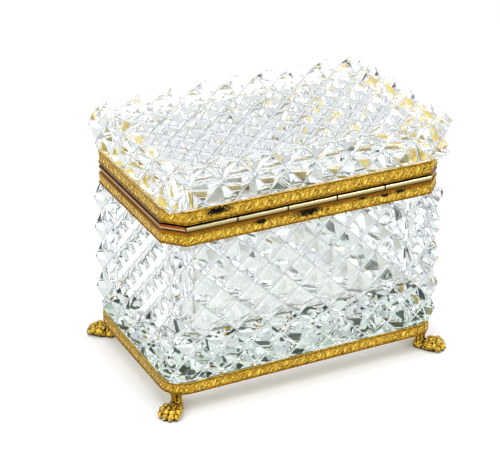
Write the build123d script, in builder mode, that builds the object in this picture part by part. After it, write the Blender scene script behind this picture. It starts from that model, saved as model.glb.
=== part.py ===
from build123d import *
import os
from math import atan2, ceil, degrees, floor, hypot, sqrt

# Cut-glass casket with gilt brass mounts.
# Millimetres. Origin on the table under the middle of the casket, +Z up,
# X along the casket's length, the clasp side towards -Y and the hinge towards +Y.

os.makedirs("parts", exist_ok=True)

# ---------------------------------------------------------------- gilt frame, plan
FRAME_LENGTH = 150.0          # over the embossed bands, along X
FRAME_DEPTH = 91.3            # over the embossed bands, along Y
COLLAR_CHAMFER = 9.2          # leg of the cut-off corners of both collars
BASE_CORNER_RADIUS = 12.0     # rounded corners of the base frame

# ---------------------------------------------------------------- heights
FOOT_HEIGHT = 10.2            # table to the underside of the base frame
BASE_BAND_HEIGHT = 6.0
BODY_GLASS_SHOWN = 73.4       # cut glass seen between the base band and the body band
BODY_BAND_HEIGHT = 5.8
HINGE_ABOVE_BODY_BAND = 2.7   # hinge axis above the body band's upper edge
HINGE_BELOW_LID_BAND = 2.4    # hinge axis below the lid band's lower edge
LID_BAND_HEIGHT = 6.7
LID_GLASS_SHOWN = 23.3        # cut glass seen above the lid band

# ---------------------------------------------------------------- sheet and cement
BAND_THICKNESS = 0.8          # embossed strip
COLLAR_THICKNESS = 0.9        # plain brass strip behind it
CEMENT_THICKNESS = 0.4        # plaster between brass and glass
COLLAR_EDGE_SETBACK = 0.4     # brass strip stops short of the band's edge
LEDGE_WIDTH = 11.0            # base frame's ledge, in from the band's face
BAND_RIM = 0.7                # plain rim along each edge of a band
BAND_RELIEF = 0.3             # depth of the embossed field behind the rims

# ---------------------------------------------------------------- glass
BODY_TIP_PROUD = 0.4          # cut points of the body beyond the bands
LID_TIP_PROUD = 1.9           # cut points of the lid beyond the bands
GLASS_CORNER_CUT = 3.0        # narrow flat down each corner of the blanks
BODY_WALL = 9.4               # band's face to the inner wall of the body
BODY_FLOOR = 25.0             # underside of the base band to the inner floor
HOLLOW_RADIUS = 8.0           # upright corners of both hollows
HOLLOW_FLOOR_RADIUS = 4.0
LID_WALL = 9.4                # band's face to the inner wall of the lid
LID_CROWN = 12.0              # solid glass over the lid's hollow
LID_SHOULDER = 4.0            # bevel round the lid's top
LID_UNDERCUT = 3.0            # bevel round the lid's lower edge
BODY_UNDERCUT = 1.6           # bevel round the body's lower edge
CORNER_TAPER = 3.2            # body's corners drawn in at the base frame
CORNER_TAPER_HEIGHT = 9.0
BAND_SEAT_GAP = 0.1           # cut glass to the edge of the band beside it

# ---------------------------------------------------------------- diamond cutting
BODY_CUT_DEPTH = 3.6          # depth of the wheel's groove
LID_CUT_DEPTH = 3.9
TIP_FLAT = 0.45               # flat left on each point
CUT_OVERRUN = 0.08            # the wheel's profile above the blank's face
LONG_SIDE_CELLS = 8.5         # diamonds between the corner crossings
SHORT_SIDE_CELLS = 5
BODY_CELL_HEIGHT = 16.6
BODY_ROW_RISE = 27.25         # base band's underside to the first crossing row
LID_CELL_HEIGHT = 17.6

# ---------------------------------------------------------------- hinge
KNUCKLE_RADIUS = 1.85
KNUCKLE_COUNT = 5
KNUCKLE_GAP = 0.25            # between neighbouring knuckles
PIN_RADIUS = 0.8
PIN_CLEARANCE = 0.05          # running fit of the pin, on the radius
PIN_END_CHAMFER = 0.2
LEAF_THICKNESS = 0.6
LEAF_WIDTH = 5.7              # from under the axis inwards
FLANGE_CLEARANCE = 0.3        # knuckle to the flanges above and below it
KNUCKLE_CLEARANCE = 0.25      # leaf cut-outs round the other leaf's knuckles
RIVET_RADIUS = 0.8
RIVET_HEAD_RADIUS = 1.35
RIVET_FIT = 0.03
LEAF_RIVET_INSET = 5.6        # from the band's face

# ---------------------------------------------------------------- meeting of body and lid
MOULDING_WIDTH = 3.2
MOULDING_PROUD_GAP = 0.1      # nose of the moulding behind the band's face
CLOSING_GAP = 0.1             # moulding's top to the lid's flange
LIP_THICKNESS = 1.0
LIP_CLEARANCE = 0.3           # lip to the lid's flange
LIP_BELOW_GLASS = 0.65        # lip's top below the lid's glass

# ---------------------------------------------------------------- thumb piece
THUMB_WIDTH = 18.0
THUMB_THICKNESS = 1.2
THUMB_FOOT_WIDTH = 12.0       # across its narrow lower end
THUMB_LOBES = 3
THUMB_LOBE_RISE = 2.0
THUMB_LIP_RADIUS = 1.5
THUMB_BAND_GAP = 0.6          # over the body band's upper edge
THUMB_RIVET_SPACING = 9.0
THUMB_RIVET_RADIUS = 0.7
THUMB_RIVET_HEAD_RADIUS = 1.2
THUMB_RIVET_HEAD_HEIGHT = 0.6

# ---------------------------------------------------------------- feet
FOOT_INSET = 6.3              # ankle's axis in from the band's faces
ANKLE_TOP_RADIUS = 4.0
ANKLE_WAIST_RADIUS = 2.7
ANKLE_WAIST_HEIGHT = 6.4
ANKLE_FLARE = 0.3             # ankle's radius half way up, over the waist's
ANKLE_FLUTES = 8
FLUTE_RADIUS = 0.6
FLUTE_BOTTOM = 4.6            # above the table
FLUTE_STOP = 1.0              # flutes end this far under the frame
PAD_HEEL = 4.0                # ankle's axis to the back of the heel
PAD_LENGTH = 12.2             # ankle's axis to the middle of the front toes
PAD_ANKLE_RADIUS = 3.8        # half-round pad, under the ankle
PAD_MIDDLE_RADIUS = 4.2
PAD_TOE_RADIUS = 3.4
TOE_COUNT = 4
TOE_RADIUS = 1.9
TOE_SPACING = 2.6
TOE_LIFT = 2.3                # middle of a toe above the table
TOE_CURVE = 0.09              # outer toes set back, per mm squared from the middle
KNUCKLE_LIFT = 3.2            # middle of a toe's knuckle above the table
KNUCKLE_SETBACK = 2.0         # behind the middle of the toe
FOOT_RIVET_RADIUS = 1.2
FOOT_RIVET_HEAD_RADIUS = 2.0
FOOT_RIVET_DEPTH = 3.2        # shank's reach into the ankle

# ---------------------------------------------------------------- sizes that follow
BASE_Z = FOOT_HEIGHT
LEDGE_TOP = BASE_Z + COLLAR_THICKNESS
BASE_BAND_TOP = BASE_Z + BASE_BAND_HEIGHT
BODY_BAND_Z = BASE_BAND_TOP + BODY_GLASS_SHOWN
BODY_BAND_TOP = BODY_BAND_Z + BODY_BAND_HEIGHT
HINGE_Z = BODY_BAND_TOP + HINGE_ABOVE_BODY_BAND
HINGE_Y = FRAME_DEPTH / 2 - KNUCKLE_RADIUS
LID_BAND_Z = HINGE_Z + HINGE_BELOW_LID_BAND
LID_BAND_TOP = LID_BAND_Z + LID_BAND_HEIGHT
LID_TOP = LID_BAND_TOP + LID_GLASS_SHOWN
BODY_FLANGE_TOP = HINGE_Z - KNUCKLE_RADIUS - FLANGE_CLEARANCE
BODY_FLANGE_Z = BODY_FLANGE_TOP - COLLAR_THICKNESS
LID_FLANGE_Z = HINGE_Z + KNUCKLE_RADIUS + FLANGE_CLEARANCE
LID_FLANGE_TOP = LID_FLANGE_Z + COLLAR_THICKNESS
STRIP_FACE = BAND_THICKNESS                       # insets from the band's face
STRIP_BACK = BAND_THICKNESS + COLLAR_THICKNESS
GLASS_RIM = STRIP_BACK + CEMENT_THICKNESS
LIP_INNER = BODY_WALL
LIP_OUTER = LIP_INNER - LIP_THICKNESS
LID_FLANGE_INNER = LIP_OUTER - LIP_CLEARANCE
HINGE_HALF = FRAME_LENGTH / 2 - COLLAR_CHAMFER
KNUCKLE_PITCH = (2 * HINGE_HALF + KNUCKLE_GAP) / KNUCKLE_COUNT
KNUCKLE_LENGTH = KNUCKLE_PITCH - KNUCKLE_GAP
KNUCKLE_STARTS = [-HINGE_HALF + i * KNUCKLE_PITCH for i in range(KNUCKLE_COUNT)]
BODY_KNUCKLES = KNUCKLE_STARTS[0::2]
LID_KNUCKLES = KNUCKLE_STARTS[1::2]


# ---------------------------------------------------------------- shared drawing helpers
def collar_outline(inset, mode=Mode.ADD):
    """Rectangle with cut-off corners, a given distance inside the bands' faces."""
    half_x = FRAME_LENGTH / 2 - inset
    half_y = FRAME_DEPTH / 2 - inset
    leg = COLLAR_CHAMFER - inset * (2 - sqrt(2))
    Polygon(
        (half_x, half_y - leg), (half_x - leg, half_y),
        (leg - half_x, half_y), (-half_x, half_y - leg),
        (-half_x, leg - half_y), (leg - half_x, -half_y),
        (half_x - leg, -half_y), (half_x, leg - half_y),
        mode=mode,
    )


def base_outline(inset, mode=Mode.ADD):
    """Rectangle with rounded corners, a given distance inside the base band's face."""
    RectangleRounded(
        FRAME_LENGTH - 2 * inset,
        FRAME_DEPTH - 2 * inset,
        BASE_CORNER_RADIUS - inset,
        mode=mode,
    )


def ring(outline, outer, inner, bottom, top, mode=Mode.ADD):
    """Upright ring between two insets of an outline."""
    with BuildSketch(Plane.XY.offset(bottom)) as section:
        outline(outer)
        outline(inner, mode=Mode.SUBTRACT)
    extrude(section.sketch, amount=top - bottom, mode=mode)


def band(outline, bottom, top):
    """Embossed strip: a plain rim at each edge and a field set back between them."""
    ring(outline, 0, BAND_THICKNESS, bottom, top)
    ring(outline, 0, BAND_RELIEF, bottom + BAND_RIM, top - BAND_RIM, mode=Mode.SUBTRACT)


def diamond_cuts(face, crossing, pitch, left, right, bottom, top, depth):
    """Two crossing families of V grooves cut into a blank's face.

    face      plane of the face, its normal pointing out of the glass
    crossing  a point of the face's plane where two grooves cross
    pitch     distances between crossings, along and across
    left to top   edges of the face in its plane
    """
    run = hypot(*pitch)
    spacing = pitch[0] * pitch[1] / run
    half_width = (spacing - TIP_FLAT) / 2 * (1 + CUT_OVERRUN / depth)
    start = face.origin + face.x_dir * crossing[0] + face.y_dir * crossing[1]
    corners = [(x - crossing[0], y - crossing[1]) for x in (left, right) for y in (bottom, top)]
    length = 2 * hypot(right - left, top - bottom)
    for slope in (1, -1):
        along = face.x_dir * pitch[0] + face.y_dir * (slope * pitch[1])
        across = face.x_dir * (-slope * pitch[1]) + face.y_dir * pitch[0]
        offsets = [(y * pitch[0] - slope * x * pitch[1]) / run for x, y in corners]
        first = floor(min(offsets) / spacing)
        last = ceil(max(offsets) / spacing)
        with BuildSketch(Plane(origin=start, x_dir=across, z_dir=along)) as grooves:
            with Locations(*[(k * spacing, 0) for k in range(first, last + 1)]):
                Polygon(
                    (0, -depth),
                    (half_width, CUT_OVERRUN),
                    (-half_width, CUT_OVERRUN),
                    align=None,
                )
        extrude(grooves.sketch, amount=length, both=True, mode=Mode.SUBTRACT)


def side_faces(half, depth, row_z, pitches):
    """The four upright faces of a blank: plane, a crossing, pitches, half width.

    The grooves of neighbouring faces meet in a crossing on each corner. An odd number of
    half diamonds along X shifts the left end by half a row.
    """
    half_x, half_y = half
    long_pitch, short_pitch = pitches
    corner_x = half_x - depth
    corner_y = half_y - depth
    left_row = row_z + (LONG_SIDE_CELLS % 1) * long_pitch[1]
    rear = Plane(origin=(0, half_y, 0), x_dir=(-1, 0, 0), z_dir=(0, 1, 0))
    front = Plane(origin=(0, -half_y, 0), x_dir=(1, 0, 0), z_dir=(0, -1, 0))
    right = Plane(origin=(half_x, 0, 0), x_dir=(0, 1, 0), z_dir=(1, 0, 0))
    left = Plane(origin=(-half_x, 0, 0), x_dir=(0, -1, 0), z_dir=(-1, 0, 0))
    return (
        (rear, (-corner_x, row_z), long_pitch, half_x),
        (front, (corner_x, row_z), long_pitch, half_x),
        (right, (corner_y, row_z), short_pitch, half_y),
        (left, (corner_y, left_row), short_pitch, half_y),
    )


# ---------------------------------------------------------------- body glass
BODY_HALF_X = FRAME_LENGTH / 2 + BODY_TIP_PROUD
BODY_HALF_Y = FRAME_DEPTH / 2 + BODY_TIP_PROUD
BODY_BLANK_Z = BASE_BAND_TOP + BAND_SEAT_GAP
BODY_BLANK_TOP = BODY_BAND_Z - BAND_SEAT_GAP
BODY_RIM_TOP = BODY_FLANGE_Z - CEMENT_THICKNESS
BODY_FOOT_Z = LEDGE_TOP + CEMENT_THICKNESS
BODY_FLOOR_Z = BASE_Z + BODY_FLOOR
BODY_ROW_Z = BASE_Z + BODY_ROW_RISE
BODY_LONG_PITCH = (2 * (BODY_HALF_X - BODY_CUT_DEPTH) / LONG_SIDE_CELLS, BODY_CELL_HEIGHT)
BODY_SHORT_PITCH = (2 * (BODY_HALF_Y - BODY_CUT_DEPTH) / SHORT_SIDE_CELLS, BODY_CELL_HEIGHT)
CORNERS = [(side, end) for side in (-1, 1) for end in (-1, 1)]

with BuildPart() as body_hollow:
    with BuildSketch(Plane.XY.offset(BODY_FLOOR_Z)):
        RectangleRounded(FRAME_LENGTH - 2 * BODY_WALL, FRAME_DEPTH - 2 * BODY_WALL, HOLLOW_RADIUS)
    extrude(amount=BODY_RIM_TOP - BODY_FLOOR_Z + 1)
    fillet(body_hollow.faces().sort_by(Axis.Z)[0].edges(), HOLLOW_FLOOR_RADIUS)

with BuildPart() as body_glass:
    with BuildSketch(Plane.XY.offset(BODY_BLANK_Z)):
        Rectangle(2 * BODY_HALF_X, 2 * BODY_HALF_Y)
    extrude(amount=BODY_BLANK_TOP - BODY_BLANK_Z)
    chamfer(body_glass.edges().filter_by(Axis.Z), GLASS_CORNER_CUT)
    chamfer(body_glass.faces().sort_by(Axis.Z)[0].edges(), BODY_UNDERCUT)
    # corners drawn in towards the rounded frame below
    for side, end in CORNERS:
        corner_x = side * (BODY_HALF_X - GLASS_CORNER_CUT / 2)
        corner_y = end * (BODY_HALF_Y - GLASS_CORNER_CUT / 2)
        upright = Plane(
            origin=(corner_x, corner_y, BODY_BLANK_Z), x_dir=(side, end, 0), z_dir=(end, -side, 0)
        )
        with BuildSketch(upright):
            Polygon(
                (-CORNER_TAPER, 0),
                (CORNER_TAPER, 0),
                (CORNER_TAPER, 2 * CORNER_TAPER_HEIGHT),
                align=None,
            )
        extrude(amount=BASE_CORNER_RADIUS, both=True, mode=Mode.SUBTRACT)
    for face, crossing, pitch, half_face in side_faces(
        (BODY_HALF_X, BODY_HALF_Y),
        BODY_CUT_DEPTH,
        BODY_ROW_Z,
        (BODY_LONG_PITCH, BODY_SHORT_PITCH),
    ):
        diamond_cuts(
            face, crossing, pitch, -half_face, half_face,
            BODY_BLANK_Z, BODY_BLANK_TOP, BODY_CUT_DEPTH,
        )
    with BuildSketch(Plane.XY.offset(BODY_BLANK_TOP)):
        collar_outline(GLASS_RIM)
    extrude(amount=BODY_RIM_TOP - BODY_BLANK_TOP)
    with BuildSketch(Plane.XY.offset(BODY_FOOT_Z)):
        base_outline(GLASS_RIM)
    extrude(amount=BODY_BLANK_Z - BODY_FOOT_Z)
    add(body_hollow.part, mode=Mode.SUBTRACT)
body_glass.part.label = "body_glass"
export_step(body_glass.part, "parts/body_glass.step")

# ---------------------------------------------------------------- lid glass
LID_HALF_X = FRAME_LENGTH / 2 + LID_TIP_PROUD
LID_HALF_Y = FRAME_DEPTH / 2 + LID_TIP_PROUD
LID_BLANK_Z = LID_BAND_TOP + BAND_SEAT_GAP
LID_RIM_Z = LID_FLANGE_TOP + CEMENT_THICKNESS
LID_ROW_Z = LID_TOP - LID_CUT_DEPTH
LID_LONG_PITCH = (2 * (LID_HALF_X - LID_CUT_DEPTH) / LONG_SIDE_CELLS, LID_CELL_HEIGHT)
LID_SHORT_PITCH = (2 * (LID_HALF_Y - LID_CUT_DEPTH) / SHORT_SIDE_CELLS, LID_CELL_HEIGHT)
LID_TOP_PITCH = (LID_LONG_PITCH[0], LID_SHORT_PITCH[0])
LID_CEILING_Z = LID_TOP - LID_CROWN

with BuildPart() as lid_hollow:
    with BuildSketch(Plane.XY.offset(LID_RIM_Z - 1)):
        RectangleRounded(FRAME_LENGTH - 2 * LID_WALL, FRAME_DEPTH - 2 * LID_WALL, HOLLOW_RADIUS)
    extrude(amount=LID_CEILING_Z - LID_RIM_Z + 1)
    fillet(lid_hollow.faces().sort_by(Axis.Z)[-1].edges(), HOLLOW_FLOOR_RADIUS)

with BuildPart() as lid_glass:
    with BuildSketch(Plane.XY.offset(LID_BLANK_Z)):
        Rectangle(2 * LID_HALF_X, 2 * LID_HALF_Y)
    extrude(amount=LID_TOP - LID_BLANK_Z)
    chamfer(lid_glass.edges().filter_by(Axis.Z), GLASS_CORNER_CUT)
    chamfer(lid_glass.faces().sort_by(Axis.Z)[0].edges(), LID_UNDERCUT)
    chamfer(lid_glass.faces().sort_by(Axis.Z)[-1].edges(), LID_SHOULDER)
    diamond_cuts(
        Plane.XY.offset(LID_TOP),
        (LID_HALF_X - LID_CUT_DEPTH, LID_HALF_Y - LID_CUT_DEPTH),
        LID_TOP_PITCH,
        -LID_HALF_X, LID_HALF_X, -LID_HALF_Y, LID_HALF_Y, LID_CUT_DEPTH,
    )
    for face, crossing, pitch, half_face in side_faces(
        (LID_HALF_X, LID_HALF_Y), LID_CUT_DEPTH, LID_ROW_Z, (LID_LONG_PITCH, LID_SHORT_PITCH)
    ):
        diamond_cuts(
            face, crossing, pitch, -half_face, half_face, LID_BLANK_Z, LID_TOP, LID_CUT_DEPTH
        )
    with BuildSketch(Plane.XY.offset(LID_RIM_Z)):
        collar_outline(GLASS_RIM)
    extrude(amount=LID_BLANK_Z - LID_RIM_Z)
    add(lid_hollow.part, mode=Mode.SUBTRACT)
lid_glass.part.label = "lid_glass"
export_step(lid_glass.part, "parts/lid_glass.step")

# ---------------------------------------------------------------- base frame
BASE_STRIP_TOP = BASE_BAND_TOP - COLLAR_EDGE_SETBACK
FOOT_X = FRAME_LENGTH / 2 - FOOT_INSET
FOOT_Y = FRAME_DEPTH / 2 - FOOT_INSET
FOOT_POINTS = [(side * FOOT_X, end * FOOT_Y) for side, end in CORNERS]

with BuildPart() as base_frame:
    ring(base_outline, STRIP_FACE, STRIP_BACK, BASE_Z, BASE_STRIP_TOP)
    ring(base_outline, STRIP_FACE, LEDGE_WIDTH, BASE_Z, LEDGE_TOP)
    with Locations(Plane.XY.offset(LEDGE_TOP)):
        with Locations(*FOOT_POINTS):
            CounterSinkHole(
                FOOT_RIVET_RADIUS + RIVET_FIT,
                FOOT_RIVET_HEAD_RADIUS + RIVET_FIT,
                depth=2 * COLLAR_THICKNESS,
            )
base_frame.part.label = "base_frame"
export_step(base_frame.part, "parts/base_frame.step")

with BuildPart() as base_band:
    band(base_outline, BASE_Z, BASE_BAND_TOP)
base_band.part.label = "base_band"
export_step(base_band.part, "parts/base_band.step")

with BuildPart() as base_cement:
    ring(base_outline, STRIP_BACK, LEDGE_WIDTH, LEDGE_TOP, BODY_FOOT_Z)
    ring(base_outline, STRIP_BACK, GLASS_RIM, BODY_FOOT_Z, BASE_STRIP_TOP)
base_cement.part.label = "base_cement"
export_step(base_cement.part, "parts/base_cement.step")

# ---------------------------------------------------------------- lion-paw feet
TOE_OFFSETS = [(i - (TOE_COUNT - 1) / 2) * TOE_SPACING for i in range(TOE_COUNT)]

# one paw on the origin, its toes towards +X
with BuildPart() as paw:
    # fluted ankle, flared under the frame
    with BuildSketch(Plane.XZ):
        with BuildLine():
            flare = ThreePointArc(
                (ANKLE_TOP_RADIUS, FOOT_HEIGHT),
                (ANKLE_WAIST_RADIUS + ANKLE_FLARE, (FOOT_HEIGHT + ANKLE_WAIST_HEIGHT) / 2),
                (ANKLE_WAIST_RADIUS, ANKLE_WAIST_HEIGHT),
            )
            Polyline(
                flare @ 1,
                (ANKLE_WAIST_RADIUS, PAD_ANKLE_RADIUS / 2),
                (0, PAD_ANKLE_RADIUS / 2),
                (0, FOOT_HEIGHT),
                flare @ 0,
            )
        make_face()
    revolve(axis=Axis.Z)
    with Locations((0, 0, FLUTE_BOTTOM)):
        with PolarLocations(ANKLE_WAIST_RADIUS + FLUTE_RADIUS / 2, ANKLE_FLUTES):
            Cylinder(
                FLUTE_RADIUS,
                FOOT_HEIGHT - FLUTE_STOP - FLUTE_BOTTOM,
                align=(Align.CENTER, Align.CENTER, Align.MIN),
                mode=Mode.SUBTRACT,
            )
    # pad, half round from heel to toes
    with BuildSketch(Plane.XY):
        with BuildLine():
            heel = EllipticalCenterArc(
                (0, 0), PAD_HEEL, PAD_ANKLE_RADIUS, start_angle=90, arc_size=90
            )
            instep = ThreePointArc(
                (0, PAD_ANKLE_RADIUS),
                (PAD_LENGTH / 2, PAD_MIDDLE_RADIUS),
                (PAD_LENGTH, PAD_TOE_RADIUS),
            )
            Polyline(instep @ 1, (PAD_LENGTH, 0), (-PAD_HEEL, 0))
        make_face()
    revolve(axis=Axis.X)
    # toes, the middle ones further forward, each with its knuckle above
    for offset_y in TOE_OFFSETS:
        forward = PAD_LENGTH - TOE_CURVE * offset_y * offset_y
        with Locations((forward, offset_y, TOE_LIFT)):
            Sphere(TOE_RADIUS, rotation=(90, 0, 0))
        with Locations((forward - KNUCKLE_SETBACK, offset_y, KNUCKLE_LIFT)):
            Sphere(TOE_RADIUS, rotation=(90, 0, 0))
    # the paw stands flat on the table
    Box(
        4 * PAD_LENGTH,
        4 * PAD_LENGTH,
        2 * PAD_MIDDLE_RADIUS,
        align=(Align.CENTER, Align.CENTER, Align.MAX),
        mode=Mode.SUBTRACT,
    )
    with Locations((0, 0, FOOT_HEIGHT)):
        Hole(FOOT_RIVET_RADIUS + RIVET_FIT, depth=FOOT_RIVET_DEPTH)

FOOT_CORNERS = {
    "foot_front_left": (-1, -1),
    "foot_front_right": (1, -1),
    "foot_rear_left": (-1, 1),
    "foot_rear_right": (1, 1),
}
for foot_name, (side, end) in FOOT_CORNERS.items():
    with BuildPart() as foot:
        outward = degrees(atan2(end, side))
        with Locations(Location((side * FOOT_X, end * FOOT_Y, 0), (0, 0, outward))):
            add(paw.part)
    foot.part.label = foot_name
    export_step(foot.part, f"parts/{foot_name}.step")

with BuildPart() as foot_rivets:
    for point in FOOT_POINTS:
        with BuildSketch(Plane(origin=(*point, 0), x_dir=(1, 0, 0), z_dir=(0, -1, 0))):
            with BuildLine():
                Polyline(
                    (0, BASE_Z - FOOT_RIVET_DEPTH + RIVET_FIT),
                    (FOOT_RIVET_RADIUS, BASE_Z - FOOT_RIVET_DEPTH + RIVET_FIT),
                    (FOOT_RIVET_RADIUS, LEDGE_TOP - (FOOT_RIVET_HEAD_RADIUS - FOOT_RIVET_RADIUS)),
                    (FOOT_RIVET_HEAD_RADIUS, LEDGE_TOP),
                    (0, LEDGE_TOP),
                    close=True,
                )
            make_face()
        revolve(axis=Axis((*point, 0), (0, 0, 1)))
foot_rivets.part.label = "foot_rivets"
export_step(foot_rivets.part, "parts/foot_rivets.step")

# ---------------------------------------------------------------- body collar
LEAF_RIVET_Y = FRAME_DEPTH / 2 - LEAF_RIVET_INSET
BODY_RIVET_X = [start + KNUCKLE_LENGTH / 2 for start in BODY_KNUCKLES]
LID_RIVET_X = [start + KNUCKLE_LENGTH / 2 for start in LID_KNUCKLES]

with BuildPart() as body_collar:
    ring(collar_outline, STRIP_FACE, STRIP_BACK, BODY_BAND_Z + COLLAR_EDGE_SETBACK, BODY_FLANGE_TOP)
    ring(collar_outline, STRIP_FACE, BODY_WALL, BODY_FLANGE_Z, BODY_FLANGE_TOP)
    with Locations(Plane.XY.offset(BODY_FLANGE_TOP)):
        with Locations(*[(x, LEAF_RIVET_Y) for x in BODY_RIVET_X]):
            Hole(RIVET_RADIUS + RIVET_FIT, depth=2 * COLLAR_THICKNESS)
body_collar.part.label = "body_collar"
export_step(body_collar.part, "parts/body_collar.step")

with BuildPart() as body_band:
    band(collar_outline, BODY_BAND_Z, BODY_BAND_TOP)
body_band.part.label = "body_band"
export_step(body_band.part, "parts/body_band.step")

with BuildPart() as body_cement:
    ring(collar_outline, STRIP_BACK, BODY_WALL, BODY_RIM_TOP, BODY_FLANGE_Z)
    ring(collar_outline, STRIP_BACK, GLASS_RIM, BODY_BAND_Z + COLLAR_EDGE_SETBACK, BODY_RIM_TOP)
body_cement.part.label = "body_cement"
export_step(body_cement.part, "parts/body_cement.step")

# half-round moulding under the lid on three sides, in line with the hinge
MOULDING_TOP = LID_FLANGE_Z - CLOSING_GAP
MOULDING_NOSE = KNUCKLE_RADIUS - MOULDING_PROUD_GAP
with BuildPart() as rim_moulding:
    with BuildSketch(Plane.XY.offset(BODY_FLANGE_TOP)):
        collar_outline(KNUCKLE_RADIUS)
        collar_outline(MOULDING_WIDTH, mode=Mode.SUBTRACT)
    extrude(amount=MOULDING_TOP - BODY_FLANGE_TOP)
    with BuildLine() as nose_path:
        half_x = FRAME_LENGTH / 2 - KNUCKLE_RADIUS
        half_y = FRAME_DEPTH / 2 - KNUCKLE_RADIUS
        leg = COLLAR_CHAMFER - KNUCKLE_RADIUS * (2 - sqrt(2))
        Polyline(
            (half_x - leg, half_y, HINGE_Z), (half_x, half_y - leg, HINGE_Z),
            (half_x, leg - half_y, HINGE_Z), (half_x - leg, -half_y, HINGE_Z),
            (leg - half_x, -half_y, HINGE_Z), (-half_x, leg - half_y, HINGE_Z),
            (-half_x, half_y - leg, HINGE_Z), (leg - half_x, half_y, HINGE_Z),
        )
    with BuildSketch(Plane(origin=nose_path.line @ 0, z_dir=nose_path.line % 0)):
        Circle(MOULDING_NOSE)
    sweep(path=nose_path.line, transition=Transition.RIGHT)
    with Locations((0, HINGE_Y, HINGE_Z)):
        Box(
            2 * (HINGE_HALF + KNUCKLE_GAP),
            3 * MOULDING_WIDTH,
            4 * KNUCKLE_RADIUS,
            mode=Mode.SUBTRACT,
        )
rim_moulding.part.label = "rim_moulding"
export_step(rim_moulding.part, "parts/rim_moulding.step")

with BuildPart() as locating_lip:
    ring(collar_outline, LIP_OUTER, LIP_INNER, BODY_FLANGE_TOP, LID_RIM_Z - LIP_BELOW_GLASS)
locating_lip.part.label = "locating_lip"
export_step(locating_lip.part, "parts/locating_lip.step")

# ---------------------------------------------------------------- lid collar
THUMB_RIVET_Z = (LID_BAND_Z + LID_BAND_TOP) / 2
THUMB_RIVETS = [(-THUMB_RIVET_SPACING / 2, THUMB_RIVET_Z), (THUMB_RIVET_SPACING / 2, THUMB_RIVET_Z)]
FRONT_FACE = Plane(origin=(0, -FRAME_DEPTH / 2, 0), x_dir=(1, 0, 0), z_dir=(0, -1, 0))


def thumb_rivet_holes(through):
    """Holes for the thumb piece's rivets, from the front inwards."""
    with Locations(FRONT_FACE.offset(THUMB_THICKNESS)):
        with Locations(*THUMB_RIVETS):
            Hole(THUMB_RIVET_RADIUS + RIVET_FIT, depth=THUMB_THICKNESS + through)


with BuildPart() as lid_collar:
    ring(collar_outline, STRIP_FACE, STRIP_BACK, LID_FLANGE_Z, LID_BAND_TOP - COLLAR_EDGE_SETBACK)
    ring(collar_outline, STRIP_FACE, LID_FLANGE_INNER, LID_FLANGE_Z, LID_FLANGE_TOP)
    with Locations(Plane.XY.offset(LID_FLANGE_TOP)):
        with Locations(*[(x, LEAF_RIVET_Y) for x in LID_RIVET_X]):
            Hole(RIVET_RADIUS + RIVET_FIT, depth=2 * COLLAR_THICKNESS)
    thumb_rivet_holes(2 * STRIP_BACK)
lid_collar.part.label = "lid_collar"
export_step(lid_collar.part, "parts/lid_collar.step")

with BuildPart() as lid_band:
    band(collar_outline, LID_BAND_Z, LID_BAND_TOP)
    thumb_rivet_holes(2 * STRIP_BACK)
lid_band.part.label = "lid_band"
export_step(lid_band.part, "parts/lid_band.step")

with BuildPart() as lid_cement:
    ring(collar_outline, STRIP_BACK, LID_FLANGE_INNER, LID_FLANGE_TOP, LID_RIM_Z)
    ring(collar_outline, STRIP_BACK, GLASS_RIM, LID_RIM_Z, LID_BAND_TOP - COLLAR_EDGE_SETBACK)
lid_cement.part.label = "lid_cement"
export_step(lid_cement.part, "parts/lid_cement.step")

# ---------------------------------------------------------------- thumb piece
THUMB_BOTTOM = BODY_BAND_TOP + THUMB_BAND_GAP
THUMB_TOP = LID_BAND_TOP - BAND_RIM
THUMB_SHOULDER = THUMB_TOP - THUMB_LOBE_RISE
LOBE_WIDTH = THUMB_WIDTH / THUMB_LOBES

with BuildPart() as thumb_piece:
    # shell-shaped plate with a scalloped top
    with BuildSketch(FRONT_FACE):
        with BuildLine():
            Polyline(
                (-THUMB_WIDTH / 2, THUMB_SHOULDER),
                (-THUMB_FOOT_WIDTH / 2, THUMB_BOTTOM),
                (THUMB_FOOT_WIDTH / 2, THUMB_BOTTOM),
                (THUMB_WIDTH / 2, THUMB_SHOULDER),
            )
            for i in range(THUMB_LOBES):
                left = -THUMB_WIDTH / 2 + i * LOBE_WIDTH
                ThreePointArc(
                    (left, THUMB_SHOULDER),
                    (left + LOBE_WIDTH / 2, THUMB_TOP),
                    (left + LOBE_WIDTH, THUMB_SHOULDER),
                )
        make_face()
    extrude(amount=THUMB_THICKNESS)
    # rolled lip that the thumb lifts
    lip_end = Plane(
        origin=(-THUMB_FOOT_WIDTH / 2, -FRAME_DEPTH / 2 - THUMB_THICKNESS, THUMB_BOTTOM),
        x_dir=(0, 1, 0),
        z_dir=(1, 0, 0),
    )
    with BuildSketch(lip_end):
        with Locations((0, THUMB_LIP_RADIUS)):
            Circle(THUMB_LIP_RADIUS)
        with Locations((THUMB_THICKNESS, THUMB_LIP_RADIUS)):
            Rectangle(
                THUMB_LIP_RADIUS,
                3 * THUMB_LIP_RADIUS,
                align=(Align.MIN, Align.CENTER),
                mode=Mode.SUBTRACT,
            )
    extrude(amount=THUMB_FOOT_WIDTH)
    thumb_rivet_holes(0)
thumb_piece.part.label = "thumb_piece"
export_step(thumb_piece.part, "parts/thumb_piece.step")

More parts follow.
